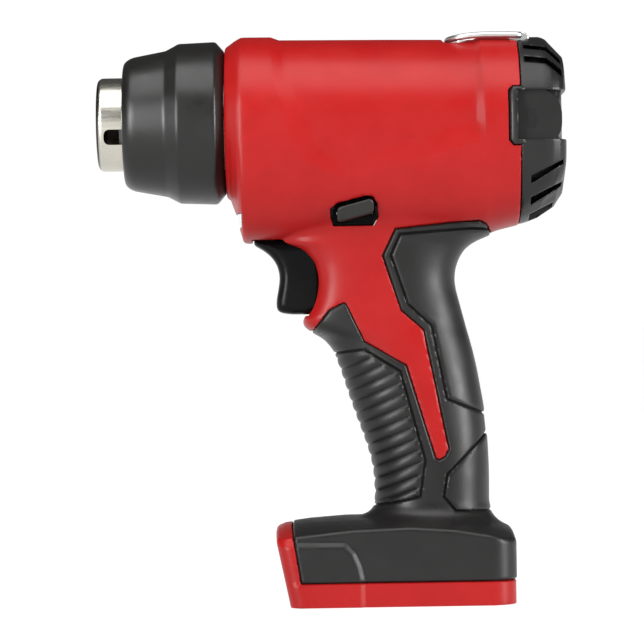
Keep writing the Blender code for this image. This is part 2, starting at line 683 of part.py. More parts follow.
def build_motor():
    """Can and end bell with a bore right through for the shaft."""
    rear = motor_rear_x()
    front = rear - MOTOR_LENGTH
    r, bore = MOTOR_RADIUS, SHAFT_RADIUS + GAP
    place("motor_can", turned([(front, bore), (front, r - 0.8), (front + 0.8, r), (rear - 2.2, r), (rear - 1.4, r - 0.8),
                               (rear - 1.4, 5.0), (rear, 5.0), (rear, bore)], 28, closed=True), bright_steel())
    bell_rear = front - GAP
    place("motor_end_bell", turned([(bell_rear - 5.0, bore), (bell_rear - 5.0, 4.0), (bell_rear - 3.4, 4.0),
                                    (bell_rear - 3.4, r - 2.4), (bell_rear - 1.6, r - 0.6), (bell_rear, r - 0.6),
                                    (bell_rear, bore)], 24, closed=True), black_plastic())
    shaft_front = bell_rear - 6.5
    impeller_rear = shroud_front_x() + SHROUD_LENGTH - SHROUD_WALL - IMPELLER_AIR
    place("motor_shaft", turned([(shaft_front, SHAFT_RADIUS), (impeller_rear + 1.5, SHAFT_RADIUS)], 16), bright_steel(),
          (0, 0, AXIS_Z))
    return impeller_rear


def build_impeller(rear_x):
    """Hub, back plate and swept blades on the motor's shaft."""
    tip = SHROUD_RADIUS - SHROUD_WALL - IMPELLER_AIR
    front_x = shroud_front_x() + 2.6 + IMPELLER_AIR + 0.6
    bore = SHAFT_RADIUS + GAP
    hub = 5.0
    wheel = place("impeller", turned([(front_x, bore), (front_x, tip), (front_x + 1.2, tip), (front_x + 3.0, hub + 1),
                                      (rear_x, hub), (rear_x, bore)], 32, closed=True))
    blades = []
    for k in range(IMPELLER_BLADES):
        rings = []
        for t in (0.0, 0.5, 1.0):
            radius = hub - 1.0 + (tip - 1.0 - hub) * t
            angle = 2 * math.pi * k / IMPELLER_BLADES + 0.7 * t * t
            away = Vector((0, math.cos(angle), math.sin(angle))) * radius
            thick = Vector((0, -math.sin(angle - 0.5 * t), math.cos(angle - 0.5 * t))) * 0.55
            top = rear_x - 1.0 - 2.0 * t
            low, high = Vector((front_x + 0.5, 0, AXIS_Z)), Vector((top, 0, AXIS_Z))
            rings.append([low + away - thick, low + away + thick, high + away + thick, high + away - thick])
        blades.append(skin_rings(rings))
    wheel = finish_shell(join(wheel, *blades), "impeller", black_plastic())
    shift = Vector((0, 0, AXIS_Z * MM))
    wheel.data.transform(Matrix.Translation(-shift))
    wheel.location = shift
    return wheel


def build_duct():
    """Air guide from the fan shroud past the motor to the heater."""
    x1, x0 = shroud_front_x() - GAP, NOZZLE_REAR_X + GAP
    w, wide, narrow = SHROUD_WALL, SHROUD_RADIUS, DUCT_FRONT_RADIUS
    outside = [(x0, narrow), (x0 + 20.0, narrow), (x1 - 22.0, wide - 0.4), (x1, wide)]
    inside = [(x, r - w) for x, r in reversed(outside)]
    place("air_duct", turned(outside + inside, 32, closed=True), mica())


def build_cap():
    """Rear cap: intake louvres above and below a recessed band, and a tab into each side of the barrel."""
    x0, d = CAP_FRONT_X, CAP_DEPTH
    r, low, wide = BARREL_RADIUS - 0.2, BARREL_DROP - 5.4, BARREL_RADIUS + 0.5

    def cap_solid(inset, front_x, rear_x):
        shape = [(0.0, 0.0, 0.0, 0.0), (0.45, 1.0, 3.2, 0.9), (0.73, 4.3, 6.2, 3.6), (0.92, 8.0, 10.4, 7.2),
                 (1.0, 14.4, 17.6, 13.0)]
        stations = [(x0 + t * (rear_x - x0), r - a, low - b, wide - c) for t, a, b, c in shape]
        stations[0] = (front_x, *stations[0][1:])
        return skin_rings([barrel_ring(*s, inset) for s in stations])

    cap = place("rear_cap", cap_solid(0.0, x0, x0 + d))
    band = cut(place("band", block(x0 + 1.8, x0 + 40, -60, 60, AXIS_Z - 8.4, AXIS_Z + 8.2)),
               cap_solid(1.3, x0 - 1, x0 + d - 1.3))
    cap = cut(cap, band)
    for side in (-1, 1):
        tab = keep(place("tab", barrel_solid(0.15, BARREL_REAR_X + 1.8)), cap_tab_box(side))
        cap = join(cap, tab)
    cap = cut(cap, cap_solid(2.6, x0 - 12, x0 + d - 2.6))
    slots = []
    for side in (-1, 1):
        y0, y1 = (2.5, 60) if side > 0 else (-60, -2.5)
        for top in (23.4, 18.2):
            z = AXIS_Z + top
            slots.append(side_prism([(x0 + 2.2, z - 0.9), (x0 + 7.4, z - 1.3), (x0 + 20, z - 11.0), (x0 + 20, z - 8.8),
                                     (x0 + 7.6, z + 0.7), (x0 + 2.2, z + 1.0)], y0, y1))
        for drop, reach in ((22.6, 20.0), (28.4, 20.0), (34.0, 9.0)):
            z = AXIS_Z - drop
            rise = 0.55 * (reach - 2.2)
            slots.append(side_prism([(x0 + 2.2, z - 1.0), (x0 + reach, z + rise - 1.0), (x0 + reach, z + rise + 1.0),
                                     (x0 + 2.2, z + 1.0)], y0, y1))
    cap = cut(cap, bracket_pocket(), pin_relief(), *slots)
    finish_shell(cap, "rear_cap", black_plastic())
    x = x0 + 0.4
    mesh_r = BARREL_RADIUS - 6.0
    place("intake_screen", turned([(x, 3.0), (x, mesh_r), (x + 0.8, mesh_r), (x + 0.8, 3.0)], 24, closed=True),
          bright_steel())


# ---------------------------------------------------------------- trigger, switch and lock

def trigger_nose_x():
    return -27.3


def trigger_back_x():
    return -3.0


def trigger_bottom_z():
    return BARREL_BOTTOM_Z + 1.0 - TRIGGER_HEIGHT


def switch_front_x():
    return trigger_back_x() + TRIGGER_TRAVEL + 3.5


def switch_axis_z():
    return BARREL_BOTTOM_Z - 14.0


def build_trigger():
    """Curved finger face in front, straight back inside the grip."""
    low = trigger_bottom_z()
    top = BARREL_BOTTOM_Z + 1.0
    nose, back = trigger_nose_x(), trigger_back_x()
    corner = 4.2
    heel = [(nose + 7.6 + corner - corner * math.sin(a), low + corner - corner * math.cos(a)) for a in
            (math.radians(d) for d in (0, 22, 45, 68, 90))]
    face = [(nose + 8.4, top - 16.0), (nose + 8.7, top - 13.4), (nose + 8.4, top - 10.7), (nose + 7.4, top - 8.1),
            (nose + 5.8, top - 5.9), (nose + 3.2, top - 3.7), (nose, top - 1.8)]
    obj = place("trigger", side_prism([(back, top), (back, low)] + heel + face + [(nose, top)], -TRIGGER_HALF_WIDTH,
                                      TRIGGER_HALF_WIDTH), black_plastic(), (back, 0, switch_axis_z()))
    bevel = obj.modifiers.new("edge", "BEVEL")
    bevel.width, bevel.segments, bevel.limit_method = 1.6 * MM, 2, "ANGLE"
    bevel.angle_limit = math.radians(60)
    z = switch_axis_z()
    rod = [(back + GAP, PLUNGER_RADIUS), (switch_front_x() + 5.0, PLUNGER_RADIUS)]
    place("switch_plunger", turned(rod, 14, centre=(0.0, z)), grey_plastic(), (back, 0, z))
    spring_x0, spring_x1 = back + GAP + SPRING_WIRE_RADIUS, switch_front_x() - GAP - SPRING_WIRE_RADIUS
    turns, per_turn = 4, 10
    line = []
    for k in range(turns * per_turn + 1):
        a = 2 * math.pi * k / per_turn
        line.append((spring_x0 + (spring_x1 - spring_x0) * k / (turns * per_turn), SPRING_RADIUS * math.cos(a),
                     z + SPRING_RADIUS * math.sin(a)))
    wire("trigger_spring", line, SPRING_WIRE_RADIUS, bright_steel(), 5)


def build_switch():
    x0, z = switch_front_x(), switch_axis_z()
    x1 = x0 + SWITCH_LENGTH
    body = place("trigger_switch", block(x0, x1, -SWITCH_HALF_WIDTH, SWITCH_HALF_WIDTH, z - SWITCH_HEIGHT / 2,
                                         z + SWITCH_HEIGHT / 2))
    bore = turned([(x0 - 3, PLUNGER_RADIUS + GAP), (x0 + 6.0 + TRIGGER_TRAVEL + 1, PLUNGER_RADIUS + GAP)], 14,
                  centre=(0.0, z))
    finish_shell(cut(body, bore), "trigger_switch", grey_plastic())


def lock_x():
    return 1.6


def lock_z():
    return BARREL_BOTTOM_Z + 6.3


def build_lock():
    """Lock bar right through the barrel's belly; pushed from either side."""
    x0, x1, z0, h = lock_x(), lock_x() + LOCK_LENGTH, lock_z(), LOCK_HEIGHT
    knob = [(x0, z0 + 0.8), (x0 + 1.0, z0), (x1 - 1.0, z0 + 2.8), (x1, z0 + 3.8), (x1, z0 + h + 1.8),
            (x1 - 1.4, z0 + h + 3.0), (x0 + 1.0, z0 + h), (x0, z0 + h - 0.8)]
    bar = keep(place("lock_shuttle", side_prism(knob, -60, 60)), barrel_solid(0.8))
    web = block(x0 - 1.4, x1 + 1.2, -8.0, 8.0, z0 - 0.6, z0 + h + 3.3)
    bar = finish_shell(join(bar, web), "lock_shuttle", black_plastic())
    bar.location.y = -LOCK_TRAVEL / 2 * MM
    return bar


# ---------------------------------------------------------------- bail

def bracket_bottom_z():
    return AXIS_Z + SHROUD_RADIUS + 0.6


def bail_z():
    return AXIS_Z + BARREL_RADIUS


def build_bail():
    """Steel wire bail that folds down on the barrel, and the block that it pivots in."""
    z, w, x = bail_z(), BAIL_HALF_WIDTH, BAIL_PIVOT_X
    end = x - BAIL_LENGTH
    half = [(x, BRACKET_HALF_WIDTH - 3.0, z), (x, w - 1.2, z), (x - 0.4, w - 0.3, z), (x - 1.3, w, z + 0.1),
            (x - 5.0, w, z + 0.4), (x - 11.0, w, z + 0.7), (x - 16.0, w, z + 0.5), (x - 20.0, w - 0.5, z),
            (end + 2.4, w - 2.0, z - 0.4), (end + 0.9, w - 4.3, z - 0.7), (end + 0.2, w - 7.2, z - 0.8)]
    line = half + [(end, 0.0, z - 0.8)] + [(px, -py, pz) for px, py, pz in reversed(half)]
    wire("hang_bail", line, BAIL_RADIUS, bright_steel(), 10, (x, 0, z))
    x0 = x - BRACKET_LENGTH / 2
    floor, top, half_w = bracket_bottom_z(), z + 1.9, BRACKET_HALF_WIDTH
    body = place("bail_bracket", side_prism([(x0, floor), (x0 + BRACKET_LENGTH, floor),
                                             (x0 + BRACKET_LENGTH, top - 1.6), (x0 + BRACKET_LENGTH - 1.6, top),
                                             (x0 + 1.6, top), (x0, top - 1.6)], -half_w, half_w))
    holes = [cross_bar(x, z, BAIL_RADIUS + GAP, *sorted((side * (half_w - 3.6), side * (half_w + 4))))
             for side in (-1, 1)]
    finish_shell(cut(body, *holes), "bail_bracket", black_plastic())


# ---------------------------------------------------------------- electrics and fasteners

def wire(name, line, radius, finish, sides=6, origin=(0, 0, 0)):
    """A round wire along the points, capped at both ends."""
    points = [Vector(p) for p in line]
    ahead = [(b - a).normalized() for a, b in zip(points, points[1:])]
    along = [ahead[0]] + [(a + b).normalized() for a, b in zip(ahead, ahead[1:])] + [ahead[-1]]
    side = along[0].orthogonal().normalized()
    rings = []
    for point, axis in zip(points, along):
        side = (side - axis * side.dot(axis)).normalized()
        up = axis.cross(side)
        turn = [2 * math.pi * k / sides for k in range(sides)]
        rings.append([point + radius * (math.cos(a) * side + math.sin(a) * up) for a in turn])
    return place(name, skin_rings(rings), finish, origin)


def smooth_line(points, steps=4):
    """Points read from a smooth curve through the given ones."""
    points = [Vector(p) for p in points]
    padded = [2 * points[0] - points[1]] + points + [2 * points[-1] - points[-2]]
    line = []
    for a, b, c, d in zip(padded, padded[1:], padded[2:], padded[3:]):
        for k in range(steps):
            t = k / steps
            line.append(0.5 * (2 * b + (c - a) * t + (2 * a - 5 * b + 4 * c - d) * t * t
                               + (3 * b - a - 3 * c + d) * t ** 3))
    return line + [points[-1]]


def terminal_block_x(grow=0.0):
    return BAY_REAR_X - 29.0 - grow, BAY_REAR_X - 10.0 + grow


def build_terminals():
    x0, x1 = terminal_block_x()
    z0 = BAY_HEIGHT - 9.0
    body = place("terminal_block", block(x0, x1, -18, 18, z0, CEILING_TOP_Z + 1.0))
    body = join(body, block(x0 - 2.5, x1 - 2.0, -21, 21, CEILING_TOP_Z + GAP, CEILING_TOP_Z + 2.4))
    z = z0 + 4.5
    holes = []
    for k in range(4):
        y = (k - 1.5) * 8.6
        place(f"terminal_blade_{k + 1}", block(x0 - 10.0, x0 + 6.0, y - 0.4, y + 0.4, z - 3.0, z + 3.0), copper())
        holes.append(block(x0 - 2, x0 + 6.0 + GAP, y - 0.4 - GAP, y + 0.4 + GAP, z - 3.0 - GAP, z + 3.0 + GAP))
    finish_shell(cut(body, *holes), "terminal_block", black_plastic())


def board_span():
    return FOOT_TOP_Z + 10.0, BARREL_BOTTOM_Z - 47.0


def build_board():
    low, high = board_span()
    x = 25.2
    middle = (low + high) / 2
    board = place("control_board", block(x, x + 1.6, -11, 11, low, high))
    parts = [block(x + 1.2, x + 5.0, -8, 0, middle - 2, middle + 12), block(x + 1.2, x + 3.4, 2.5, 8.5, middle, middle + 9),
             block(x - 4.5, x + 0.4, -6, 6, low + 3, low + 11)]
    finish_shell(join(board, *parts), "control_board", board_green())


def build_leads():
    """Battery, motor and heater leads inside the housing, each in its own sleeve."""
    low, high = board_span()
    switch_low, switch_high = switch_axis_z() - SWITCH_HEIGHT / 2, switch_axis_z() + SWITCH_HEIGHT / 2
    block_top = CEILING_TOP_Z + 2.4
    for side, word, finish in ((-1, "positive", lead_red()), (1, "negative", lead_black())):
        y = 5.0 * side
        wire(f"battery_lead_{word}",
             smooth_line([(38.0, y, block_top + 0.4), (40.5, y, FOOT_TOP_Z + 1.0), (43.5, y, FOOT_TOP_Z + 16.0),
                          (42.5, y, low + 20.0), (38.0, y, high), (31.0, y, switch_low - 8.0), (28.0, y, switch_low - 0.6)]),
             LEAD_RADIUS, finish)
        wire(f"motor_lead_{word}",
             smooth_line([(33.0, 3.0 * side, switch_high + 0.5), (33.0, 3.0 * side, switch_high + 6.0),
                          (35.5, 3.0 * side, AXIS_Z - SHROUD_RADIUS - 6.0), (36.0, 3.0 * side, AXIS_Z - SHROUD_RADIUS - 0.8)]),
             LEAD_RADIUS, finish)
    for side, word in ((-1, "a"), (1, "b")):
        end_z = AXIS_Z - math.sqrt(DUCT_FRONT_RADIUS ** 2 - 49) - 1.3
        wire(f"heater_lead_{word}",
             smooth_line([(26.0, 7.0 * side, switch_high + 0.5), (25.0, 7.0 * side, switch_high + 4.0),
                          (21.0, 7.0 * side, switch_high + 13.0), (14.0, 7.0 * side, switch_high + 20.5),
                          (4.0, 7.0 * side, switch_high + 22.0), (-7.0, 7.0 * side, switch_high + 22.5),
                          (-14.0, 7.0 * side, end_z)], 3), LEAD_RADIUS, lead_white())


def build_screws():
    for k, (x, z, seat) in enumerate(screw_places(), 1):
        head, top = seat + GAP, seat + GAP + SCREW_HEAD_HEIGHT
        turn = [2 * math.pi * n / 10 for n in range(10)]
        profile = [(-SCREW_REACH, SCREW_RADIUS * 0.55), (-SCREW_REACH + 1.5, SCREW_RADIUS), (head, SCREW_RADIUS),
                   (head, SCREW_HEAD_RADIUS), (top - 0.6, SCREW_HEAD_RADIUS), (top, SCREW_HEAD_RADIUS - 0.8)]
        body = place("screw", skin_rings([[(x + r * math.cos(a), y, z + r * math.sin(a)) for a in turn]
                                          for y, r in profile]))
        body = cut(body, cross_bar(x, z, 1.35, top - 1.3, top + 2, 6))
        finish_shell(body, f"housing_screw_{k}", bright_steel())


def main():
    clear_scene()
    build_housing()
    build_overmould()
    build_heat_shield()
    build_nozzle()
    build_mounting_ring()
    build_heater()
    build_lens()
    build_shroud()
    build_impeller(build_motor())
    build_duct()
    build_cap()
    build_trigger()
    build_switch()
    build_lock()
    build_bail()
    build_terminals()
    build_board()
    build_leads()
    build_screws()


main()
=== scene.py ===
import math
import bpy
import numpy as np
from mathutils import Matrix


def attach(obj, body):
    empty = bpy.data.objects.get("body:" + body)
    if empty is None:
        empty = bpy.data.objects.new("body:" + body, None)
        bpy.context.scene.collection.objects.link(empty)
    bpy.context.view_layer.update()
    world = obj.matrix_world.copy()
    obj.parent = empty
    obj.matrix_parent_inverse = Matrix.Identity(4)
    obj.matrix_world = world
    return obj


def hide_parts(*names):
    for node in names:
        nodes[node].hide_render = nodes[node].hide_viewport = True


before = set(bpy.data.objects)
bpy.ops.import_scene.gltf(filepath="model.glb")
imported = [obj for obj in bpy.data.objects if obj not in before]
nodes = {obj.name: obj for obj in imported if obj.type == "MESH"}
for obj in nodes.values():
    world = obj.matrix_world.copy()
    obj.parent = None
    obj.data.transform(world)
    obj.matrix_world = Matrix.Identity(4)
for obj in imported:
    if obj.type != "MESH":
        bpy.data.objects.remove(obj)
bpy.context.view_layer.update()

# Cordless heat gun. Shapes are worked out in millimetres and put into the meshes in metres.
# The air axis runs along X at height axisZ with the outlet at -X, and y = 0 is the joint of the two halves.
axisZ = 167.0
print("frame loaded:", len(nodes), "nodes")


# meshes

def makeMesh(name, points, faces, finish, smoothAngle=38.0):
    # faces has four columns; a triangle has -1 in the last one
    flat = faces[faces >= 0].astype(np.int32)
    count = (faces >= 0).sum(axis=1)
    mesh = bpy.data.meshes.new(name)
    mesh.vertices.add(len(points))
    mesh.vertices.foreach_set("co", (np.asarray(points) * 0.001).astype(np.float32).ravel())
    mesh.loops.add(len(flat))
    mesh.loops.foreach_set("vertex_index", flat)
    mesh.polygons.add(len(count))
    mesh.polygons.foreach_set("loop_start", np.concatenate([[0], np.cumsum(count)[:-1]]).astype(np.int32))
    mesh.update(calc_edges=True)
    mesh.validate()
    mesh.shade_smooth()
    mesh.set_sharp_from_angle(angle=math.radians(smoothAngle))
    mesh.materials.append(finish)
    piece = bpy.data.objects.new(name, mesh)
    bpy.context.scene.collection.objects.link(piece)
    return piece


def outward(points, faces):
    # the volume is the sum of the triangles' products a . (b x c) / 6; faces are turned round if it is negative
    a, b, c = (points[faces[:, k]] for k in (0, 1, 2))
    d = points[np.where(faces[:, 3] < 0, faces[:, 0], faces[:, 3])]
    volume = (a * np.cross(b, c)).sum() + (a * np.cross(c, d)).sum()
    if volume > 0:
        return faces
    turned = faces[:, [0, 3, 2, 1]]
    triangle = faces[:, 3] < 0
    turned[triangle] = np.column_stack([faces[triangle][:, [0, 2, 1]], np.full(triangle.sum(), -1)])
    return turned


def gridFaces(rows, columns, closeRows=False, closeColumns=True):
    # quads between neighbouring points of a rows x columns grid
    i = np.arange(rows if closeRows else rows - 1)[:, None]
    j = np.arange(columns if closeColumns else columns - 1)[None, :]
    nextI, nextJ = (i + 1) % rows, (j + 1) % columns
    return np.stack(np.broadcast_arrays(i * columns + j, i * columns + nextJ, nextI * columns + nextJ,
                                        nextI * columns + j), axis=-1).reshape(-1, 4)


def cappedGrid(grid):
    # a grid closed round its columns, with a fan of triangles from the middle of its first and last row
    rows, columns = grid.shape[:2]
    points = np.concatenate([grid.reshape(-1, 3), grid[0].mean(axis=0)[None], grid[-1].mean(axis=0)[None]])
    j = np.arange(columns)
    nextJ = (j + 1) % columns
    none = np.full(columns, -1)
    first = np.column_stack([np.full(columns, rows * columns), nextJ, j, none])
    base = (rows - 1) * columns
    last = np.column_stack([np.full(columns, rows * columns + 1), base + j, base + nextJ, none])
    return points, np.concatenate([gridFaces(rows, columns), first, last])


def roundedLine(corners, radius, closed=False, steps=6):
    # each corner of a line becomes the quadratic curve between points at `radius` before and after it
    corners = np.asarray(corners, float)
    radius = np.broadcast_to(radius, len(corners))
    line = []
    for k, corner in enumerate(corners):
        if not closed and k in (0, len(corners) - 1):
            line.append(corner[None])
            continue
        before, after = corners[k - 1] - corner, corners[(k + 1) % len(corners)] - corner
        reachB = min(radius[k], np.linalg.norm(before) * 0.48)
        reachA = min(radius[k], np.linalg.norm(after) * 0.48)
        p = corner + before / np.linalg.norm(before) * reachB
        q = corner + after / np.linalg.norm(after) * reachA
        t = np.linspace(0, 1, steps + 1)[:, None]
        line.append((1 - t) ** 2 * p + 2 * t * (1 - t) * corner + t * t * q)
    return np.concatenate(line)


def supported(line, reach=0.25):
    # points added just inside both ends of each long straight of a closed line, to hold the flats flat
    ahead = np.roll(line, -1, axis=0) - line
    size = np.linalg.norm(ahead, axis=1)[:, None]
    keep = size[:, 0] > 3 * reach
    step = ahead / np.maximum(size, 1e-9) * reach
    rows = np.stack([line, line + step, line + ahead - step], axis=1)
    wanted = np.column_stack([np.ones(len(line), bool), keep, keep])
    return rows[wanted]


def turnedSurface(name, profile, finish, segments=144, closedProfile=True, smoothAngle=38.0):
    # (x, radius) points turned about the air axis: (x, r sin a, axisZ + r cos a) for every angle a
    angle = np.linspace(0, 2 * np.pi, segments, endpoint=False)[None, :]
    x, r = profile[:, 0:1], profile[:, 1:2]
    grid = np.stack(np.broadcast_arrays(x, r * np.sin(angle), axisZ + r * np.cos(angle)), axis=-1)
    points, faces = grid.reshape(-1, 3), gridFaces(len(profile), segments, closedProfile)
    return makeMesh(name, points, outward(points, faces), finish, smoothAngle)


def pillowPrism(name, outline, halfWidth, edge, finish, middle=0.0, slant=0.0, steps=6):
    # an (x, z) outline carried across the tool: near each end it draws in along its normals by
    # edge (1 - cos a) while y moves on by edge sin a, and slant leans both ends with the height
    outline = np.asarray(outline, float)
    along = np.roll(outline, -1, axis=0) - np.roll(outline, 1, axis=0)
    normal = np.column_stack([along[:, 1], -along[:, 0]]) / np.linalg.norm(along, axis=1)[:, None]
    x, z = outline[:, 0], outline[:, 1]
    if (x * np.roll(z, -1) - np.roll(x, -1) * z).sum() < 0:
        normal = -normal
    turn = np.linspace(0, np.pi / 2, steps + 1)
    inset = np.concatenate([edge * (1 - np.cos(turn[::-1])), edge * (1 - np.cos(turn))])
    across = np.concatenate([-halfWidth + edge - edge * np.sin(turn[::-1]), halfWidth - edge + edge * np.sin(turn)])
    ring = outline[None] - normal[None] * inset[:, None, None]
    lean = 1 + slant * (ring[..., 1] - outline[:, 1].mean()) / halfWidth
    y = middle + across[:, None] * lean
    points, faces = cappedGrid(np.stack([ring[..., 0], y, ring[..., 1]], axis=-1))
    return makeMesh(name, points, outward(points, faces), finish)


def tubeAlong(name, line, radius, finish, sides=16):
    # a circle carried along the line on frames that turn as little as they can
    line = np.asarray(line, float)
    along = np.gradient(line, axis=0)
    along /= np.linalg.norm(along, axis=1)[:, None]
    side = np.zeros_like(line)
    side[0] = np.cross(along[0], [0.3, 0.2, 1.0])
    for k in range(1, len(line)):
        side[k] = side[k - 1] - along[k] * (side[k - 1] @ along[k])
    side /= np.linalg.norm(side, axis=1)[:, None]
    up = np.cross(along, side)
    a = np.linspace(0, 2 * np.pi, sides, endpoint=False)[None, :, None]
    grid = line[:, None] + radius * (np.cos(a) * side[:, None] + np.sin(a) * up[:, None])
    points, faces = cappedGrid(grid)
    return makeMesh(name, points, outward(points, faces), finish)


def throughPoints(knots, steps=10):
    # Catmull-Rom curve through the given points
    p = np.asarray(knots, float)
    p = np.concatenate([2 * p[:1] - p[1:2], p, 2 * p[-1:] - p[-2:-1]])
    t = np.linspace(0, 1, steps, endpoint=False)[None, :, None]
    a, b, c, d = (p[k:len(p) - 3 + k, None] for k in range(4))
    curve = 0.5 * (2 * b + (c - a) * t + (2 * a - 5 * b + 4 * c - d) * t ** 2 + (3 * b - a - 3 * c + d) * t ** 3)
    return np.concatenate([curve.reshape(-1, p.shape[1]), p[-2:-1]])


# distances: each field is negative inside its shape, and about the distance in millimetres near its surface

def softMax(a, b, k):
    # the larger of two fields, with the edge between them rounded over k
    h = np.clip(0.5 + 0.5 * (a - b) / k, 0, 1)
    return b + (a - b) * h + k * h * (1 - h)


def softMin(a, b, k):
    return -softMax(-a, -b, k)


def ease(t):
    t = np.clip(t, 0, 1)
    return t * t * (3 - 2 * t)


def lineDistance(x, z, corners, closed=False):
    # least distance to the segments of a line in the side view
    corners = np.asarray(corners, float)
    ends = np.roll(corners, -1, axis=0) if closed else corners[1:]
    nearest = 1e9
    for (ax, az), (bx, bz) in zip(corners, ends):
        dx, dz = bx - ax, bz - az
        t = np.clip(((x - ax) * dx + (z - az) * dz) / (dx * dx + dz * dz), 0, 1)
        nearest = np.minimum(nearest, (x - ax - t * dx) ** 2 + (z - az - t * dz) ** 2)
    return np.sqrt(nearest)


def outlineField(x, z, corners):
    # the same distance, negative inside: the side is found by counting crossings of a level line
    corners = np.asarray(corners, float)
    inside = False
    for (ax, az), (bx, bz) in zip(corners, np.roll(corners, -1, axis=0)):
        if az == bz:
            continue
        spans = (az > z) != (bz > z)
        inside = inside ^ (spans & (x < ax + (z - az) * (bx - ax) / (bz - az)))
    return np.where(inside, -1.0, 1.0) * lineDistance(x, z, corners, True)


def boxField(x, y, z, x0, x1, y0, y1, z0, z1, edge=0.0):
    qx, qy, qz = (np.abs(v - (a + b) / 2) - (b - a) / 2 + edge for v, a, b in ((x, x0, x1), (y, y0, y1), (z, z0, z1)))
    far = np.sqrt(np.maximum(qx, 0) ** 2 + np.maximum(qy, 0) ** 2 + np.maximum(qz, 0) ** 2)
    return far + np.minimum(np.maximum(qx, np.maximum(qy, qz)), 0) - edge


def contour(field, low, high, step):
    # Dual contouring. Each grid edge whose ends differ in sign gives a point and a normal of the surface.
    # Each cell's vertex is the least-squares meeting point of the planes through its edges' points,
    # and each such grid edge joins the vertices of its four cells with a quad.
    low, high = np.asarray(low, float), np.asarray(high, float)
    axes = [np.arange(low[k], high[k] + step, step) for k in range(3)]
    value = field(axes[0][:, None, None], axes[1][None, :, None], axes[2][None, None, :])
    size = np.array(value.shape)
    cellShape = tuple(size - 1)
    places, normals, owners, flips = [], [], [], []
    for axis in range(3):
        unit = np.eye(3, dtype=int)[axis]
        first = value[tuple(slice(0, n - u) for n, u in zip(size, unit))]
        second = value[tuple(slice(u, None) for u in unit)]
        index = np.argwhere((first < 0) != (second < 0))
        others = [(axis + 1) % 3, (axis + 2) % 3]
        keep = ((index[:, others] > 0) & (index[:, others] < size[others] - 1)).all(axis=1)
        index = index[keep]
        start = low + index * step
        near, far = first[tuple(index.T)], second[tuple(index.T)]
        t0, t1, f0, f1 = np.zeros(len(index)), np.ones(len(index)), near.copy(), far.copy()
        for _ in range(5):
            t = t0 + (t1 - t0) * np.clip(f0 / (f0 - f1), 0.08, 0.92)
            p = start + t[:, None] * unit * step
            f = field(p[:, 0], p[:, 1], p[:, 2])
            same = (f < 0) == (f0 < 0)
            t0, f0 = np.where(same, t, t0), np.where(same, f, f0)
            t1, f1 = np.where(same, t1, t), np.where(same, f1, f)
        t = t0 + (t1 - t0) * f0 / (f0 - f1)
        p = start + t[:, None] * unit * step
        slope = np.stack([field(*(p + e).T) - field(*(p - e).T) for e in np.eye(3) * 0.03], axis=1)
        slope /= np.linalg.norm(slope, axis=1)[:, None] + 1e-12
        b, c = np.eye(3, dtype=int)[(axis + 1) % 3], np.eye(3, dtype=int)[(axis + 2) % 3]
        around = np.stack([index, index - b, index - b - c, index - c], axis=1)
        places.append(p)
        normals.append(slope)
        owners.append(np.ravel_multi_index(around.reshape(-1, 3).T, cellShape).reshape(-1, 4))
        flips.append(near >= 0)
    p, n = np.concatenate(places), np.concatenate(normals)
    owner, flip = np.concatenate(owners), np.concatenate(flips)
    ids, cell = np.unique(owner.ravel(), return_inverse=True)
    cell = cell.reshape(-1)
    many = len(ids)
    p4, n4 = np.repeat(p, 4, axis=0), np.repeat(n, 4, axis=0)

    def gathered(weight):
        return np.bincount(cell, weights=weight, minlength=many)

    count = gathered(np.ones(len(cell)))
    mean = np.column_stack([gathered(p4[:, k]) for k in range(3)]) / count[:, None]
    off = (n4 * (p4 - mean[cell])).sum(axis=1)
    matrix = np.empty((many, 3, 3))
    for r in range(3):
        for s in range(3):
            matrix[:, r, s] = gathered(n4[:, r] * n4[:, s])
    pull = np.column_stack([gathered(n4[:, k] * off) for k in range(3)])
    matrix += np.eye(3) * 0.06 * (count / 4)[:, None, None]
    move = np.clip(np.linalg.solve(matrix, pull[:, :, None])[:, :, 0], -step, step)
    faces = cell.reshape(-1, 4)
    faces = np.where(flip[:, None], faces[:, ::-1], faces)
    return mean + move, faces


# materials

def newMaterial(name):
    made = bpy.data.materials.new(name)
    made.use_nodes = True
    return made, made.node_tree.nodes, made.node_tree.links, made.node_tree.nodes["Principled BSDF"]


def objectNoise(nodeSet, links, scale, detail=3.0, roughness=0.55, stretch=(1, 1, 1)):
    place = nodeSet.new("ShaderNodeTexCoord")
    turn = nodeSet.new("ShaderNodeMapping")
    turn.inputs["Scale"].default_value = stretch
    noise = nodeSet.new("ShaderNodeTexNoise")
    noise.inputs["Scale"].default_value = scale
    noise.inputs["Detail"].default_value = detail
    noise.inputs["Roughness"].default_value = roughness
    links.new(place.outputs["Object"], turn.inputs["Vector"])
    links.new(turn.outputs["Vector"], noise.inputs["Vector"])
    return noise


def ramped(nodeSet, links, source, low, high, a=0.3, b=0.7):
    ramp = nodeSet.new("ShaderNodeValToRGB")
    ramp.color_ramp.elements[0].position, ramp.color_ramp.elements[1].position = a, b
    ramp.color_ramp.elements[0].color, ramp.color_ramp.elements[1].color = low, high
    links.new(source, ramp.inputs["Fac"])
    return ramp


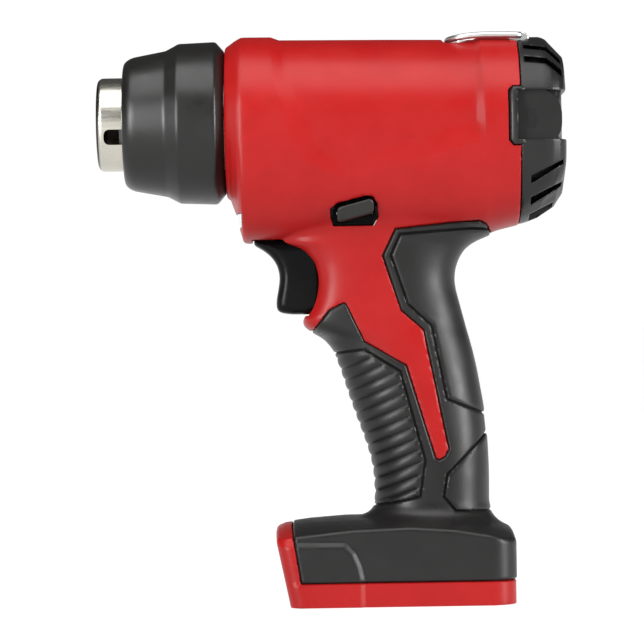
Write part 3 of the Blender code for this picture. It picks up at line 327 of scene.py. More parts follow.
def mouldedFinish(name, colour, rough, grain, grainHeight, wear=0.0, spec=0.5, coat=0.0):
    # moulded plastic or rubber: spark-eroded grain, faint mottling, and roughness that wanders as on handled parts
    made, nodeSet, links, shader = newMaterial(name)
    mottle = objectNoise(nodeSet, links, 55.0, 4.0)
    dark = tuple(c * 0.93 for c in colour) + (1,)
    light = tuple(min(1.0, c * 1.05 + wear) for c in colour) + (1,)
    tone = ramped(nodeSet, links, mottle.outputs["Fac"], dark, light)
    links.new(tone.outputs["Color"], shader.inputs["Base Color"])
    handled = objectNoise(nodeSet, links, 130.0, 5.0, 0.65)
    spread = ramped(nodeSet, links, handled.outputs["Fac"], (rough - 0.05,) * 3 + (1,), (rough + 0.07,) * 3 + (1,))
    links.new(spread.outputs["Color"], shader.inputs["Roughness"])
    fine = objectNoise(nodeSet, links, grain, 2.0, 0.5)
    wave = objectNoise(nodeSet, links, 28.0, 1.0)
    bump = nodeSet.new("ShaderNodeBump")
    bump.inputs["Strength"].default_value = 0.35
    bump.inputs["Distance"].default_value = grainHeight
    links.new(fine.outputs["Fac"], bump.inputs["Height"])
    sink = nodeSet.new("ShaderNodeBump")
    sink.inputs["Strength"].default_value = 0.12
    sink.inputs["Distance"].default_value = 0.0006
    links.new(wave.outputs["Fac"], sink.inputs["Height"])
    links.new(bump.outputs["Normal"], sink.inputs["Normal"])
    links.new(sink.outputs["Normal"], shader.inputs["Normal"])
    shader.inputs["Specular IOR Level"].default_value = spec
    shader.inputs["Coat Weight"].default_value = coat
    shader.inputs["Coat Roughness"].default_value = 0.25
    return made


def metalFinish(name, colour, rough, stretch=(1, 1, 1), tint=None, scale=900.0):
    # drawn or plated metal: hair-fine lines along the working direction, with an optional heat tint in its cloudy
    # tone
    made, nodeSet, links, shader = newMaterial(name)
    shader.inputs["Metallic"].default_value = 1.0
    hair = objectNoise(nodeSet, links, scale, 3.0, 0.6, stretch)
    spread = ramped(nodeSet, links, hair.outputs["Fac"], (rough * 0.88,) * 3 + (1,), (rough * 1.18,) * 3 + (1,))
    links.new(spread.outputs["Color"], shader.inputs["Roughness"])
    bump = nodeSet.new("ShaderNodeBump")
    bump.inputs["Strength"].default_value = 0.03
    bump.inputs["Distance"].default_value = 0.0001
    links.new(hair.outputs["Fac"], bump.inputs["Height"])
    links.new(bump.outputs["Normal"], shader.inputs["Normal"])
    cloud = objectNoise(nodeSet, links, 90.0, 4.0)
    second = tint or tuple(c * 0.9 for c in colour)
    tone = ramped(nodeSet, links, cloud.outputs["Fac"], tuple(colour) + (1,), tuple(second) + (1,), 0.42, 0.72)
    links.new(tone.outputs["Color"], shader.inputs["Base Color"])
    return made


shellRed = mouldedFinish("shellRed", (0.245, 0.0038, 0.0036), 0.36, 2600.0, 0.00003, 0.002, 0.2)
gripRubber = mouldedFinish("gripRubber", (0.0065, 0.0061, 0.0059), 0.38, 2100.0, 0.00005, 0.002, 0.28)
capBlack = mouldedFinish("capBlack", (0.0066, 0.0062, 0.006), 0.36, 2400.0, 0.00004, 0.002, 0.3)
shieldBlack = mouldedFinish("shieldBlack", (0.006, 0.0056, 0.0053), 0.32, 2800.0, 0.00003, 0.002, 0.34)
# the trigger's black is darker than the other black parts: painted shade for the recess it sits in
triggerShadedBlack = mouldedFinish("triggerShadedBlack", (0.0015, 0.0014, 0.0014), 0.24, 3000.0, 0.00002, 0.002, 0.09)
filterMesh = mouldedFinish("filterMesh", (0.006, 0.006, 0.006), 0.5, 900.0, 0.0003, 0.0, 0.2)
knobGrey = mouldedFinish("knobGrey", (0.0095, 0.009, 0.0085), 0.34, 2200.0, 0.00004, 0.002, 0.32)
nozzleSteel = metalFinish("nozzleSteel", (0.5, 0.485, 0.435), 0.27, (0.06, 1, 1), (0.56, 0.53, 0.45), 1500.0)


def darkened(made, source, colour):
    # the base colour is multiplied by one that goes from `colour` to white as the source goes from 0 to 1
    nodeSet, links, shader = made.node_tree.nodes, made.node_tree.links, made.node_tree.nodes["Principled BSDF"]
    fade = ramped(nodeSet, links, source, (*colour, 1), (1, 1, 1, 1), 0.0, 1.0)
    both = nodeSet.new("ShaderNodeMix")
    both.data_type, both.blend_type = "RGBA", "MULTIPLY"
    both.inputs[0].default_value = 1.0
    before = shader.inputs["Base Color"].links[0].from_socket
    links.new(before, both.inputs[6])
    links.new(fade.outputs["Color"], both.inputs[7])
    links.new(both.outputs[2], shader.inputs["Base Color"])


def lipDarkReflection(made, start, end, colour):
    # the mouth's edge is darkened by a painted dark reflection, which fades out from x = start to x = end
    nodeSet, links = made.node_tree.nodes, made.node_tree.links
    place, split, span = (nodeSet.new("ShaderNode" + kind) for kind in ("TexCoord", "SeparateXYZ", "MapRange"))
    span.inputs["From Min"].default_value, span.inputs["From Max"].default_value = start, end
    links.new(place.outputs["Object"], split.inputs["Vector"])
    links.new(split.outputs["X"], span.inputs["Value"])
    darkened(made, span.outputs["Result"], colour)


def innerPaintedShade(made, edge, colour):
    # what lies nearer the air axis than `edge` is darkened: painted shade inside the tube
    nodeSet, links = made.node_tree.nodes, made.node_tree.links
    kinds = ("TexCoord", "VectorMath", "VectorMath", "VectorMath", "MapRange")
    place, shift, flat, size, span = (nodeSet.new("ShaderNode" + kind) for kind in kinds)
    shift.operation, flat.operation, size.operation = "SUBTRACT", "MULTIPLY", "LENGTH"
    shift.inputs[1].default_value, flat.inputs[1].default_value = (0, 0, axisZ * 0.001), (0, 1, 1)
    span.inputs["From Min"].default_value, span.inputs["From Max"].default_value = edge - 0.0002, edge
    links.new(place.outputs["Object"], shift.inputs[0])
    links.new(shift.outputs[0], flat.inputs[0])
    links.new(flat.outputs[0], size.inputs[0])
    links.new(size.outputs["Value"], span.inputs["Value"])
    darkened(made, span.outputs["Result"], colour)


# a painted dark reflection round the nozzle's lip
lipDarkReflection(nozzleSteel, -0.0811, -0.0799, (0.12, 0.105, 0.08))
# painted shade on the inside of the nozzle tube
innerPaintedShade(nozzleSteel, 0.01585, (0.05, 0.045, 0.04))
wireSteel = metalFinish("wireSteel", (0.6, 0.61, 0.6), 0.36)
screwSteel = metalFinish("screwSteel", (0.55, 0.55, 0.56), 0.3)
contactCopper = metalFinish("contactCopper", (0.83, 0.5, 0.3), 0.28)
coilWire = metalFinish("coilWire", (0.5, 0.47, 0.42), 0.4)
micaSheet = mouldedFinish("micaSheet", (0.03, 0.027, 0.022), 0.6, 700.0, 0.00012, 0.05)
innerGrey = mouldedFinish("innerGrey", (0.2, 0.2, 0.21), 0.5, 1500.0, 0.00003)
boardGreen = mouldedFinish("boardGreen", (0.02, 0.14, 0.06), 0.4, 900.0, 0.00003)
lensClear = mouldedFinish("lensClear", (0.8, 0.82, 0.86), 0.12, 1500.0, 0.00001)
lensClear.node_tree.nodes["Principled BSDF"].inputs["Transmission Weight"].default_value = 0.35
leadSleeves = {"red": mouldedFinish("leadRed", (0.5, 0.02, 0.02), 0.45, 1500.0, 0.00003),
               "black": mouldedFinish("leadBlack", (0.02, 0.02, 0.02), 0.45, 1500.0, 0.00003),
               "white": mouldedFinish("leadBraid", (0.7, 0.67, 0.6), 0.7, 1100.0, 0.0001)}
print("materials made")

# the body's form

barrel = {
    "x":     [-36.5, -35.2, -33.4, -32.3, -31.0, -30.4, -29.0, -18.0, 20.0, 45.0, 53.0, 55.5, 66.2],
    "rise":  [26.0, 27.0, 28.3, 29.0, 29.7, 29.75, 29.8, 29.7, 29.3, 28.9, 28.8, 28.65, 28.4],
    "half":  [26.0, 26.9, 28.0, 28.7, 29.3, 29.4, 29.5, 29.5, 29.4, 29.4, 29.4, 29.3, 29.1],
    "drop":  [26.2, 27.2, 32.2, 37.0, 41.6, 42.1, 42.3, 42.3, 41.6, 40.8, 40.1, 39.5, 36.9],
    "panelRim": [(-20.5, 230), (-20.5, 194.0), (-20.2, 181.0), (-15.2, 168.5), (-13.4, 161.5), (-11.6, 153.2),
                 (4.6, 145.6), (53.4, 158.2), (52.4, 185.0), (52.3, 230)],
    "panelBed": [(-18.0, 230), (-17.6, 195.5), (-15.4, 181.5), (-9.8, 169.5), (-7.6, 162.4), (-4.6, 156.2),
                 (3.4, 151.2), (49.6, 165.0), (49.9, 185.0), (50.1, 230)],
    "panelDepth": 1.05, "frontX": -36.5, "rearX": 64.9}

gripLine = {  # height: front x, rear x, half width
    "front": [(140, -13.5), (126.5, -13.5), (124.7, -17.3), (122.7, -11.7), (120.3, -9.1), (117.6, -7.0), (114, -6.0),
              (110.8, -5.7), (107.5, -6.1), (104.1, -6.95), (101.4, -8.1), (98.6, -10.3), (96.9, -10.8),
              (95.2, -10.2), (93.8, -8.4), (92.2, -5.2), (90.6, -2.8), (87.1, 0.0), (83.6, 1.5), (80, 2.8),
              (76.5, 3.9), (73, 5.0), (69.5, 6.1), (66, 7.3), (62.5, 8.5), (58.9, 9.8), (55.4, 11.0), (52, 12.1),
              (48.4, 13.0), (44.9, 13.6), (41.4, 13.9), (37.9, 14.0), (33, 14.0), (28, 13.5), (15, 13)],
    "rear":  [(140, 54), (131, 54), (127.6, 54), (126.2, 51.5), (124.8, 49.2), (123, 46.9), (121.4, 45.3),
              (117.9, 43.2), (114.4, 42.1), (110.9, 41.8), (107.4, 42.3), (103.9, 43.2), (100.4, 44.1), (96.9, 45.0), (93.4, 45.9),
              (89.8, 46.9), (86.3, 47.8), (82.8, 48.6), (79.3, 49.3), (75.8, 49.9), (72.3, 50.5), (68.8, 51.1),
              (65.3, 51.6), (61.8, 52.0), (58.3, 52.3), (54.8, 52.5), (51.3, 52.7), (44.2, 52.9), (37.3, 52.8),
              (30, 52.8), (15, 53)],
    "half":  [(140, 16.0), (128, 17.2), (115, 16.9), (95, 16.5), (80, 16.9), (60, 17.5), (45, 18.0), (30, 18.4),
              (15, 18.6)],
    "power": [(140, 2.35), (126, 4.4), (98, 4.4), (92, 2.35), (15, 2.35)], "blend": 5.0}

foot = {
    "frontBottomX": -16.1, "frontTopX": -21.2, "rearX": 60.9, "halfWidth": 36.4,
    "frontCorner": 5.0, "rearCorner": 9.0,
    "ridge": [(-21.2, 25.4), (-18.0, 26.8), (-9.0, 28.0), (3.0, 28.8), (14, 28.8), (40, 28.6), (53, 27.6),
              (61.5, 24.0)],
    "edge":  [(-21, 22.6), (-14.8, 23.8), (5, 25.9), (25, 26.7), (40, 25.6), (51.9, 23.5), (61.5, 20.5)],
    "bulge": [(-40, -6), (8.2, -6), (8.2, 8.5), (7.9, 10.4), (7.0, 14.2), (5.3, 18.0), (2.4, 21.0), (-40, 21.6)],
    "bulgeHeight": 1.2, "rimHeight": 8.1, "rimProud": 0.35, "blend": 7.0}

skinOutline = [(-3.0, 99.5), (-1.5, 101.4), (3.6, 103.7), (4.5, 103.2), (10.6, 90.2), (25.0, 81.7), (34.6, 49.6),
               (35.7, 49.0), (37.4, 50.0), (38.8, 52.6), (30.8, 93.6), (23.1, 100.5), (17.0, 119.6), (21.6, 128.9),
               (41.1, 130.8), (50.8, 131.3), (53.2, 130.3), (55.2, 127.4), (58.0, 122.0), (90, 110), (90, 8.1),
               (-12.6, 8.1), (-15.6, 27.0), (-15.9, 60), (-30, 80), (-14.0, 91.0), (-7.4, 93.9), (-5.9, 95.7)]
skin = {"seam": 0.012, "depth": 1.6, "gap": 0.22, "proud": 0.3, "edge": 0.9,
        "rearPad": [(20.0, 119.6), (23.2, 126.8), (48.0, 128.6), (70, 128), (70, 57.2), (50.6, 64.9), (38.7, 69.6),
                    (33.8, 95.1), (25.7, 102.7)],
        "heelPad": [(70, 74.6), (51.5, 56.7), (38.3, 43.8), (37.0, 36.0), (41.1, 31.2), (53.0, 30.6), (70, 30.6)],
        "palmPad": [(-20, 81.5), (1.5, 86.3), (10.5, 87.2), (22.7, 79.5), (30.8, 48.7), (28.8, 36.1), (13.8, 32.9),
                    (-20, 26.0)],
        "ribPitch": 4.3, "ribRise": 0.40, "ribHeight": 0.7, "grooveDepth": 0.7, "grooveHalf": 0.55}


def smoothedCurve(pairs, spread):
    # straight lines between (height, value) pairs, averaged over a bell of that width
    pairs = sorted(pairs)
    height = np.arange(pairs[0][0], pairs[-1][0] + 0.25, 0.25)
    level = np.interp(height, [p[0] for p in pairs], [p[1] for p in pairs])
    reach = int(spread * 12)
    bell = np.exp(-0.5 * (np.arange(-reach, reach + 1) * 0.25 / spread) ** 2)
    padded = np.pad(level, reach, mode="edge")
    return height, np.convolve(padded, bell / bell.sum(), mode="valid")


gripFront, gripRear = smoothedCurve(gripLine["front"], 0.8), smoothedCurve(gripLine["rear"], 1.2)
gripHalf, gripPower = smoothedCurve(gripLine["half"], 3.0), smoothedCurve(gripLine["power"], 1.5)


def steepness(name):
    # how fast a station value changes along x, as the factor that turns a radial step into a distance
    line = np.linspace(-38, 70, 433)
    change = np.gradient(np.interp(line, barrel["x"], barrel[name]), line)
    return line, np.sqrt(1 + np.convolve(np.pad(np.abs(change), 2, mode="edge"), np.full(5, 0.2), mode="valid") ** 2)


steepRise, steepDrop = steepness("rise"), steepness("drop")


def barrelField(x, w, z):
    # a section round above the air axis and fuller below it
    # the field is how far a point lies outside it along its ray
    rise, half = (np.interp(x, barrel["x"], barrel[k]) for k in ("rise", "half"))
    drop = np.interp(x, barrel["x"], barrel["drop"])
    up = z - axisZ
    power = np.where(up >= 0, 2.0, 2.0 + 1.5 * np.clip(drop / half - 1, 0, 1))
    span = np.where(up >= 0, rise, drop)
    ratio = ((w / half) ** power + (np.abs(up) / span) ** power) ** (1 / power)
    field = np.sqrt(w * w + up * up) * (1 - 1 / np.maximum(ratio, 1e-4))
    field = field / np.where(up >= 0, np.interp(x, *steepRise), np.interp(x, *steepDrop))
    rim, bed = (outlineField(x, z, barrel[k]) for k in ("panelRim", "panelBed"))
    slope = np.where(bed < 0, 1.0, np.clip(-rim, 0, None) / (np.clip(-rim, 0, None) + np.maximum(bed, 0) + 1e-6))
    field = field + barrel["panelDepth"] * slope
    return softMax(field, np.maximum(barrel["frontX"] - x, x - barrel["rearX"]), 0.7)


def gripField(x, w, z):
    front, rear = np.interp(z, *gripFront), np.interp(z, *gripRear)
    half = np.interp(z, *gripHalf)
    middle, reach = (front + rear) / 2, (rear - front) / 2
    n = np.where(x < middle, np.interp(z, *gripPower), 2.35)
    ratio = ((np.abs(x - middle) / reach) ** n + (w / half) ** n) ** (1 / n)
    field = np.sqrt((x - middle) ** 2 + w * w) * (1 - 1 / np.maximum(ratio, 1e-4))
    return np.maximum(field, np.maximum(z - 139.0, 10.0 - z))


def footField(x, w, z):
    # a box with rounded plan corners and a leaning front, under a crowned top
    front = foot["frontBottomX"] + (foot["frontTopX"] - foot["frontBottomX"]) * np.clip(z / 24.7, -0.2, 1.05)
    bulge = foot["bulgeHeight"] * ease(0.5 - outlineField(x, z, foot["bulge"]) / 2.6) ** 0.7
    rim = foot["rimProud"] * ease(0.5 + (foot["rimHeight"] - z) / 0.5)
    half = foot["halfWidth"] + bulge + rim
    middle, reach = (front + foot["rearX"]) / 2, (foot["rearX"] - front) / 2
    corner = np.where(x < middle, foot["frontCorner"], foot["rearCorner"])
    qx, qy = np.abs(x - middle) - reach + corner, w - half + corner
    plan = np.sqrt(np.maximum(qx, 0) ** 2 + np.maximum(qy, 0) ** 2) + np.minimum(np.maximum(qx, qy), 0) - corner
    ridge = np.interp(x, [p[0] for p in foot["ridge"]], [p[1] for p in foot["ridge"]])
    edge = np.interp(x, [p[0] for p in foot["edge"]], [p[1] for p in foot["edge"]])
    top = z - (ridge + (edge - ridge) * (np.minimum(w, 38) / 37.0) ** 2)
    return softMax(softMax(plan, top, 1.8), -z, 0.5)


def bodyField(x, w, z):
    w = np.abs(w)
    upper = softMin(barrelField(x, w, z), gripField(x, w, z), gripLine["blend"])
    return softMin(upper, footField(x, w, z), foot["blend"])


screwSpots = [(-24.0, 131.0, 16.2), (-12.0, 189.3, 12.0), (58.0, 134.0, 16.2), (42.0, 136.0, 16.2),
              (22.0, 85.8, 12.5), (36.0, 44.0, 13.0), (-9.0, 20.8, 26.0), (52.0, 20.8, 26.0)]
lockBar = [(1.7, 131.6), (2.6, 131.1), (13.4, 133.8), (14.3, 134.7), (14.3, 137.8), (13.2, 138.9), (2.6, 136.2),
           (1.7, 135.3)]
lockHole = [(0.4, 130.0), (14.2, 130.0), (15.8, 132.8), (15.4, 137.2), (14.0, 139.6), (11.9, 139.9), (2.0, 137.6),
            (-0.5, 135.6), (-0.4, 132.6)]


def roundHoles(x, w, z, radius, low, high, spots):
    # the nearest of several round bars across the tool
    nearest = 1e3
    for sx, sz, seat in spots:
        bar = np.sqrt((x - sx) ** 2 + (z - sz) ** 2) - radius
        nearest = np.minimum(nearest, np.maximum(bar, np.maximum(low - w, w - high(seat))))
    return nearest


def housingField(x, w, z, side):
    body = bodyField(x, w, z)
    skinSide = outlineField(x, z, skinOutline)
    bed = softMax(skinSide, -(body + skin["depth"]), 0.2)
    shell = softMax(body, -bed, 0.7)
    wall = 2.4 + 1.0 * ease(0.5 - skinSide / 3.0)
    shell = np.maximum(shell, -np.maximum(body + wall, 18.2 - z))
    posts = np.maximum(roundHoles(x, w, z, 4.4, -1.0, lambda seat: seat + 1.6, screwSpots), body + 2.0)
    shell = np.minimum(shell, posts)
    shell = softMax(shell, -boxField(x, w, z, -60, 57, -40, 31, -8, 15.8, 1.0), 0.5)
    shell = np.maximum(shell, -boxField(x, w, z, 27.7, 47.3, -40, 18.3, 10, 22))
    shell = np.minimum(shell, boxField(x, w, z, -13.5, 57.5, 26.5, 32.5, 2.5, 5.5, 0.4))
    bore = np.sqrt(w * w + (z - axisZ) ** 2) - 17.0
    shell = np.maximum(shell, -np.maximum(bore, x + 30))
    shell = softMax(shell, -boxField(x, w, z, -27.9, 12, -40, 10.6, 99.2, 128.7, 0.6), 0.6)
    shell = softMax(shell, -np.maximum(outlineField(x, z, lockHole) - 0.15, 10.0 - w), 0.4)
    shell = softMax(shell, -boxField(x, w, z, -40, -31.0, -40, 23.5, 129.9, 134.9, 0.4), 0.3)
    tab = outlineField(x, z, [(60.7, 158.2), (62.3, 156.3), (80, 156.3), (80, 176.9), (62.3, 176.9), (60.7, 175.2)])
    shell = softMax(shell, -np.maximum(tab, 21.7 - w), 0.5)
    shell = np.maximum(shell, -boxField(x, w, z, 62.2, 69.8, -40, 7.8, 191.3, 240))
    shell = softMax(shell, -boxField(x, w, z, 63.8, 68.2, -40, 10.9, 193.8, 240, 0.5), 0.4)
    scoop = outlineField(x, z, [(39.4, 210), (39.4, 194.1), (40.9, 192.7), (46.6, 192.7), (49.0, 196.7), (49.0, 210)])
    shell = softMax(shell, -np.maximum(scoop, w - 9.8), 0.9)
    if side > 0:
        holes = roundHoles(x, w, z, 1.9, -1.0, lambda seat: seat + 1.0, screwSpots)
        heads = 1e3
        for sx, sz, seat in screwSpots:
            heads = np.minimum(heads, np.maximum(np.sqrt((x - sx) ** 2 + (z - sz) ** 2) - 3.4, seat - w))
        shell = softMax(shell, -np.minimum(holes, heads), 0.4)
    return np.maximum(shell, skin["seam"] - w)


def skinField(x, w, z, side):
    # the soft skin fills its bed, stands a little proud, and carries grooves, raised pads and ribs as offsets
    body = bodyField(x, w, z)
    border = outlineField(x, z, skinOutline)
    palm, rearPad, heel = (outlineField(x, z, skin[k]) for k in ("palmPad", "rearPad", "heelPad"))
    inGrip = ease((z - 29.5) / 2.0)
    groove = skin["grooveDepth"] * np.maximum.reduce([
        np.clip(1 - np.abs(field) / skin["grooveHalf"], 0, 1) ** 0.8 for field in (palm, rearPad, heel)])
    swell = 0.35 * np.maximum(ease(-rearPad / 1.6), ease(-heel / 1.6))
    phase = (z - 33.5 - skin["ribRise"] * (x - 14.0)) / skin["ribPitch"]
    rib = np.abs(np.sin(np.pi * phase)) ** 0.6 - 0.62
    ribs = skin["ribHeight"] * rib * ease((-palm - 0.6) / 1.3) * ease((z - 33.0) / 2.0)
    relief = inGrip * (groove - swell - ribs)
    field = softMax(body - skin["proud"] * ease(-border / 0.8 - 0.4) + relief, border + skin["gap"], skin["edge"])
    field = np.maximum(field, -(body + skin["depth"] - 0.3))
    if side > 0:
        for sx, sz, seat in screwSpots[-3:]:
            field = softMax(field, -(np.sqrt((x - sx) ** 2 + (z - sz) ** 2) - 3.4), 0.5)
    return np.maximum(field, skin["seam"] - w)


def halfPiece(name, field, side, low, high, step, finish):
    points, faces = contour(lambda x, w, z: field(x, w, z, side), low, high, step)
    points = np.maximum(points, [-np.inf, skin["seam"], 0])  # nothing crosses the joint or goes below the base
    if side < 0:
        points = points * [1, -1, 1]
        faces = faces[:, ::-1]
    return makeMesh(name, points, faces, finish, 42.0)


shellStep, skinStep = ((0.84, 0.52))
for side, word in ((-1, "left"), (1, "right")):
    shell = halfPiece("shell_" + word, housingField, side, (-38.2, -1.0, -1.3), (67.5, 39.8, 199.0), shellStep,
                      shellRed)
    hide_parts("housing_" + word)
    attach(shell, "housing")
    cover = halfPiece("soft_skin_" + word, skinField, side, (-18.5, -1.0, 6.0), (64.5, 39.8, 133.0), skinStep,
                      gripRubber)
    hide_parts("grip_overmould_" + word)
    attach(cover, "housing")
    print(word, "half made:", len(shell.data.polygons), "and", len(cover.data.polygons), "faces")

# rear cap

cap = {"frontX": 65.2, "wall": 2.6, "flatHalf": 26.3, "bandLow": 158.3, "bandHigh": 175.2,
       "topG": [0.0, 0.6, 0.753, 0.965, 1.02], "topX": [81.4, 81.3, 80.9, 75.2, 73.0],
       "lowG": [0.0, 0.45, 0.565, 0.728, 0.842, 0.943, 1.0, 1.03],
       "lowX": [81.6, 81.5, 81.2, 80.2, 77.4, 71.7, 66.1, 62.5],
       "sideG": [0.0, 0.45, 0.8, 0.88, 0.94, 0.98, 1.0, 1.02],
       "sideX": [81.5, 81.4, 80.8, 80.0, 78.4, 76.0, 74.0, 71.5],
       "highSlots": [(190.8, 0.7), (186.2, 0.95)], "lowSlots": [(144.6, 79.5), (137.4, 79.2), (131.9, 76.6)]}


def capForm(x, w, z, inset):
    # the barrel's last section, drawn in towards a rear face whose profile differs above and below the air axis
    up = z - axisZ
    half, rise, drop = 29.1 - inset, 28.4 - inset, 36.9 - inset
    power = np.where(up >= 0, 2.0, 2.4)
    ratio = ((w / half) ** power + (np.abs(up) / np.where(up >= 0, rise, drop)) ** power) ** (1 / power)
    section = np.sqrt(w * w + up * up) * (1 - 1 / np.maximum(ratio, 1e-4))
    blend = ease((up + 9.0) / 14.0)
    low, top = np.interp(ratio, cap["lowG"], cap["lowX"]), np.interp(ratio, cap["topG"], cap["topX"])
    rear = (1 - blend) * low + blend * top
    share = ease(((w / half) ** 2 / np.maximum(ratio, 0.05) ** 2 - 0.25) / 0.6)
    rear = rear + share * (np.interp(ratio, cap["sideG"], cap["sideX"]) - rear)
    return softMax(section, (x - rear + inset) * 0.75, 1.2)


def capField(x, y, z):
    w = np.abs(y)
    outer = softMax(capForm(x, w, z, 0.0), cap["frontX"] - x, 0.6)
    tab = outlineField(x, z, [(61.0, 158.4), (62.5, 156.6), (70, 156.6), (70, 176.6), (62.5, 176.6), (61.0, 174.9)])
    ridge = 0.9 * np.clip(1 - ((x - 63.9) / 2.6) ** 2, 0, 1) ** 0.5
    tabBody = np.maximum(softMax(barrelField(np.minimum(x, 65.0), w, z) - ridge, tab, 0.8), 22.0 - w)
    outer = np.minimum(outer, tabBody)
    # the band: flat side walls behind the tab's ridge, and a dome round the air axis
    dome = x - (80.1 - 0.9 * (w / 26.0) ** 2 - 0.0062 * np.abs(z - 165.5) ** 3 * ease((w - 15.0) / 11.0))
    kept = np.maximum(w - cap["flatHalf"], dome * 0.7)
    band = np.maximum(np.maximum(cap["bandLow"] - z, z - cap["bandHigh"]), 63.9 - x)
    outer = softMax(outer, -np.maximum(band, -kept), 0.5)
    hollow = np.maximum(capForm(x, w, z, cap["wall"]), 58.0 - x)
    inBand = np.maximum(band - 2.0, -(kept + 2.0))
    hollow = np.maximum(hollow, -inBand)
    field = np.maximum(outer, -hollow)
    slots = 1e3
    for zs, thick in cap["highSlots"]:
        sag = 0.12 * (x - 68) + 0.72 * np.maximum(x - 74.4, 0)
        lean = np.where(x > 74.4, 0.78, 1.0)
        slot = np.maximum(np.abs(z - zs + sag) * lean - thick, np.maximum(66.9 - x, x - 79.6))
        slots = np.minimum(slots, slot)
    for zs, end in cap["lowSlots"]:
        thick = np.interp(x, [68, 80], [1.15, 0.55])
        slot = np.maximum(np.abs(z - zs - 0.55 * (x - 68.4)) * 0.876 - thick, np.maximum(68.4 - x, x - end))
        slots = np.minimum(slots, slot)
    field = softMax(field, -np.maximum(slots, 2.5 - w), 0.5)
    field = np.maximum(field, -boxField(x, w, z, 62.2, 69.8, -40, 7.8, 191.3, 240))
    return softMax(field, -boxField(x, w, z, 63.8, 68.2, -40, 10.9, 193.8, 240, 0.5), 0.4)


capPoints, capFaces = contour(capField, (60.0, -31.0, 128.5), (83.0, 31.0, 197.0), 0.5)
capPiece = makeMesh("vented_cap", capPoints, capFaces, capBlack, 42.0)
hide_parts("rear_cap")
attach(capPiece, "housing")


def screenField(x, y, z):
    # a filter bowl that follows the cap's inside
    w = np.abs(y)
    return np.maximum(np.maximum(capForm(x, w, z, 2.7), -capForm(x, w, z, 3.6)), 67.0 - x)


points, faces = contour(screenField, (66.0, -28.0, 130.0), (81.0, 28.0, 194.0), 0.8)
screen = makeMesh("filter_bowl", points, faces, filterMesh, 42.0)
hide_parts("intake_screen")
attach(screen, "housing")
print("rear cap made:", len(capFaces), "faces")

# outlet end

def lensField(x, y, z):
    # a clear strip that fills the window in the chin and follows its surface
    w = np.abs(y)
    body = bodyField(x, w, z)
    window = boxField(x, w, z, -40, -31.2, -40, 23.3, 130.1, 134.7, 0.3)
    return softMax(softMax(body + 0.25, -(body + 1.9), 0.2), window, 0.3)


points, faces = contour(lensField, (-36.5, -25.0, 129.0), (-30.0, 25.0, 136.0), 0.4)
lens = makeMesh("led_window", points, faces, lensClear, 42.0)
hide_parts("led_lens")
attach(lens, "housing")

shield = {"outside": [(-36.8, 24.9), (-39.8, 28.4), (-52.7, 27.9), (-57.2, 25.5), (-69.6, 23.2), (-72.0, 21.2)],
          "outsideEdge": [0.4, 0.9, 0.7, 0.7, 2.2, 1.2],
          "inside": [(-72.0, 17.6), (-69.4, 17.6), (-68.4, 20.6), (-57.6, 23.0), (-53.0, 25.3), (-40.6, 25.8),
                     (-36.8, 22.4)],
          "insideEdge": [0.5, 0.3, 0.4, 0.5, 0.5, 0.5, 0.3]}
shieldCorners, shieldEdges = shield["outside"] + shield["inside"], shield["outsideEdge"] + shield["insideEdge"]
shieldLine = supported(roundedLine(shieldCorners, shieldEdges, True, 5))
shieldPiece = turnedSurface("nose_shield", shieldLine, shieldBlack, 160, smoothAngle=30.0)
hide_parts("heat_shield")
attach(shieldPiece, "housing")

nozzle = {"tipX": -81.2, "middleX": -66.0, "rearX": -24.8, "radius": 16.3, "wall": 0.9, "lip": 2.2, "flange": 3.8,
          "slotWidth": 5.5, "slotStart": -78.5, "slotEnd": -65.0, "slotCorner": 1.6, "slotTurn": 18.6, "slots": 3}


def nozzleLine():
    # outside from the flange to the lip, round the lip by the arcs r - lip + lip cos a, and back inside
    n = nozzle
    a = np.linspace(0, np.pi / 2, 10)
    out = np.column_stack([n["tipX"] + n["lip"] * (1 - np.sin(a)), n["radius"] - n["lip"] + n["lip"] * np.cos(a)])
    small = n["lip"] - n["wall"]
    back = np.column_stack([n["tipX"] + n["lip"] - small * np.sin(a[::-1]),
                            n["radius"] - n["lip"] + small * np.cos(a[::-1])])
    x, r, w = n["rearX"], n["radius"], n["wall"]
    rear = [(x, r - w), (x, r + n["flange"]), (x - w, r + n["flange"]), (x - w, r), (n["middleX"], r)]
    return np.concatenate([rear, out, back])


tube = turnedSurface("outlet_tube", nozzleLine(), nozzleSteel, 180, smoothAngle=30.0)
for k in range(nozzle["slots"]):
    # each locating slot is cut by a rounded block that is turned about the air axis
    middle = (nozzle["slotStart"] + nozzle["slotEnd"]) / 2
    reach, half = (nozzle["slotEnd"] - nozzle["slotStart"]) / 2, nozzle["slotWidth"] / 2
    near, far = middle - reach, middle + reach
    rim = roundedLine([(near, -half), (far, -half), (far, half), (near, half)], nozzle["slotCorner"] * 1.4, True, 6)
    turn = math.radians(nozzle["slotTurn"] + 360.0 / nozzle["slots"] * k)
    grid = np.stack([np.column_stack([rim[:, 0], np.full(len(rim), -depth), rim[:, 1]]) for depth in (11.0, 20.0)])
    y, z = grid[..., 1].copy(), grid[..., 2].copy()
    grid[..., 1] = y * math.cos(turn) - z * math.sin(turn)
    grid[..., 2] = axisZ + y * math.sin(turn) + z * math.cos(turn)
    points, faces = cappedGrid(grid)
    cutter = makeMesh("slot_cutter", points, outward(points, faces), nozzleSteel)
    opening = tube.modifiers.new("slot", "BOOLEAN")
    opening.operation, opening.object, opening.solver = "DIFFERENCE", cutter, "EXACT"
    cutMesh = bpy.data.meshes.new_from_object(tube.evaluated_get(bpy.context.evaluated_depsgraph_get()))
    tube.modifiers.clear()
    tube.data = cutMesh
    bpy.data.objects.remove(cutter, do_unlink=True)
tube.data.set_sharp_from_angle(angle=math.radians(30))
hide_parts("nozzle_tube")
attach(tube, "housing")

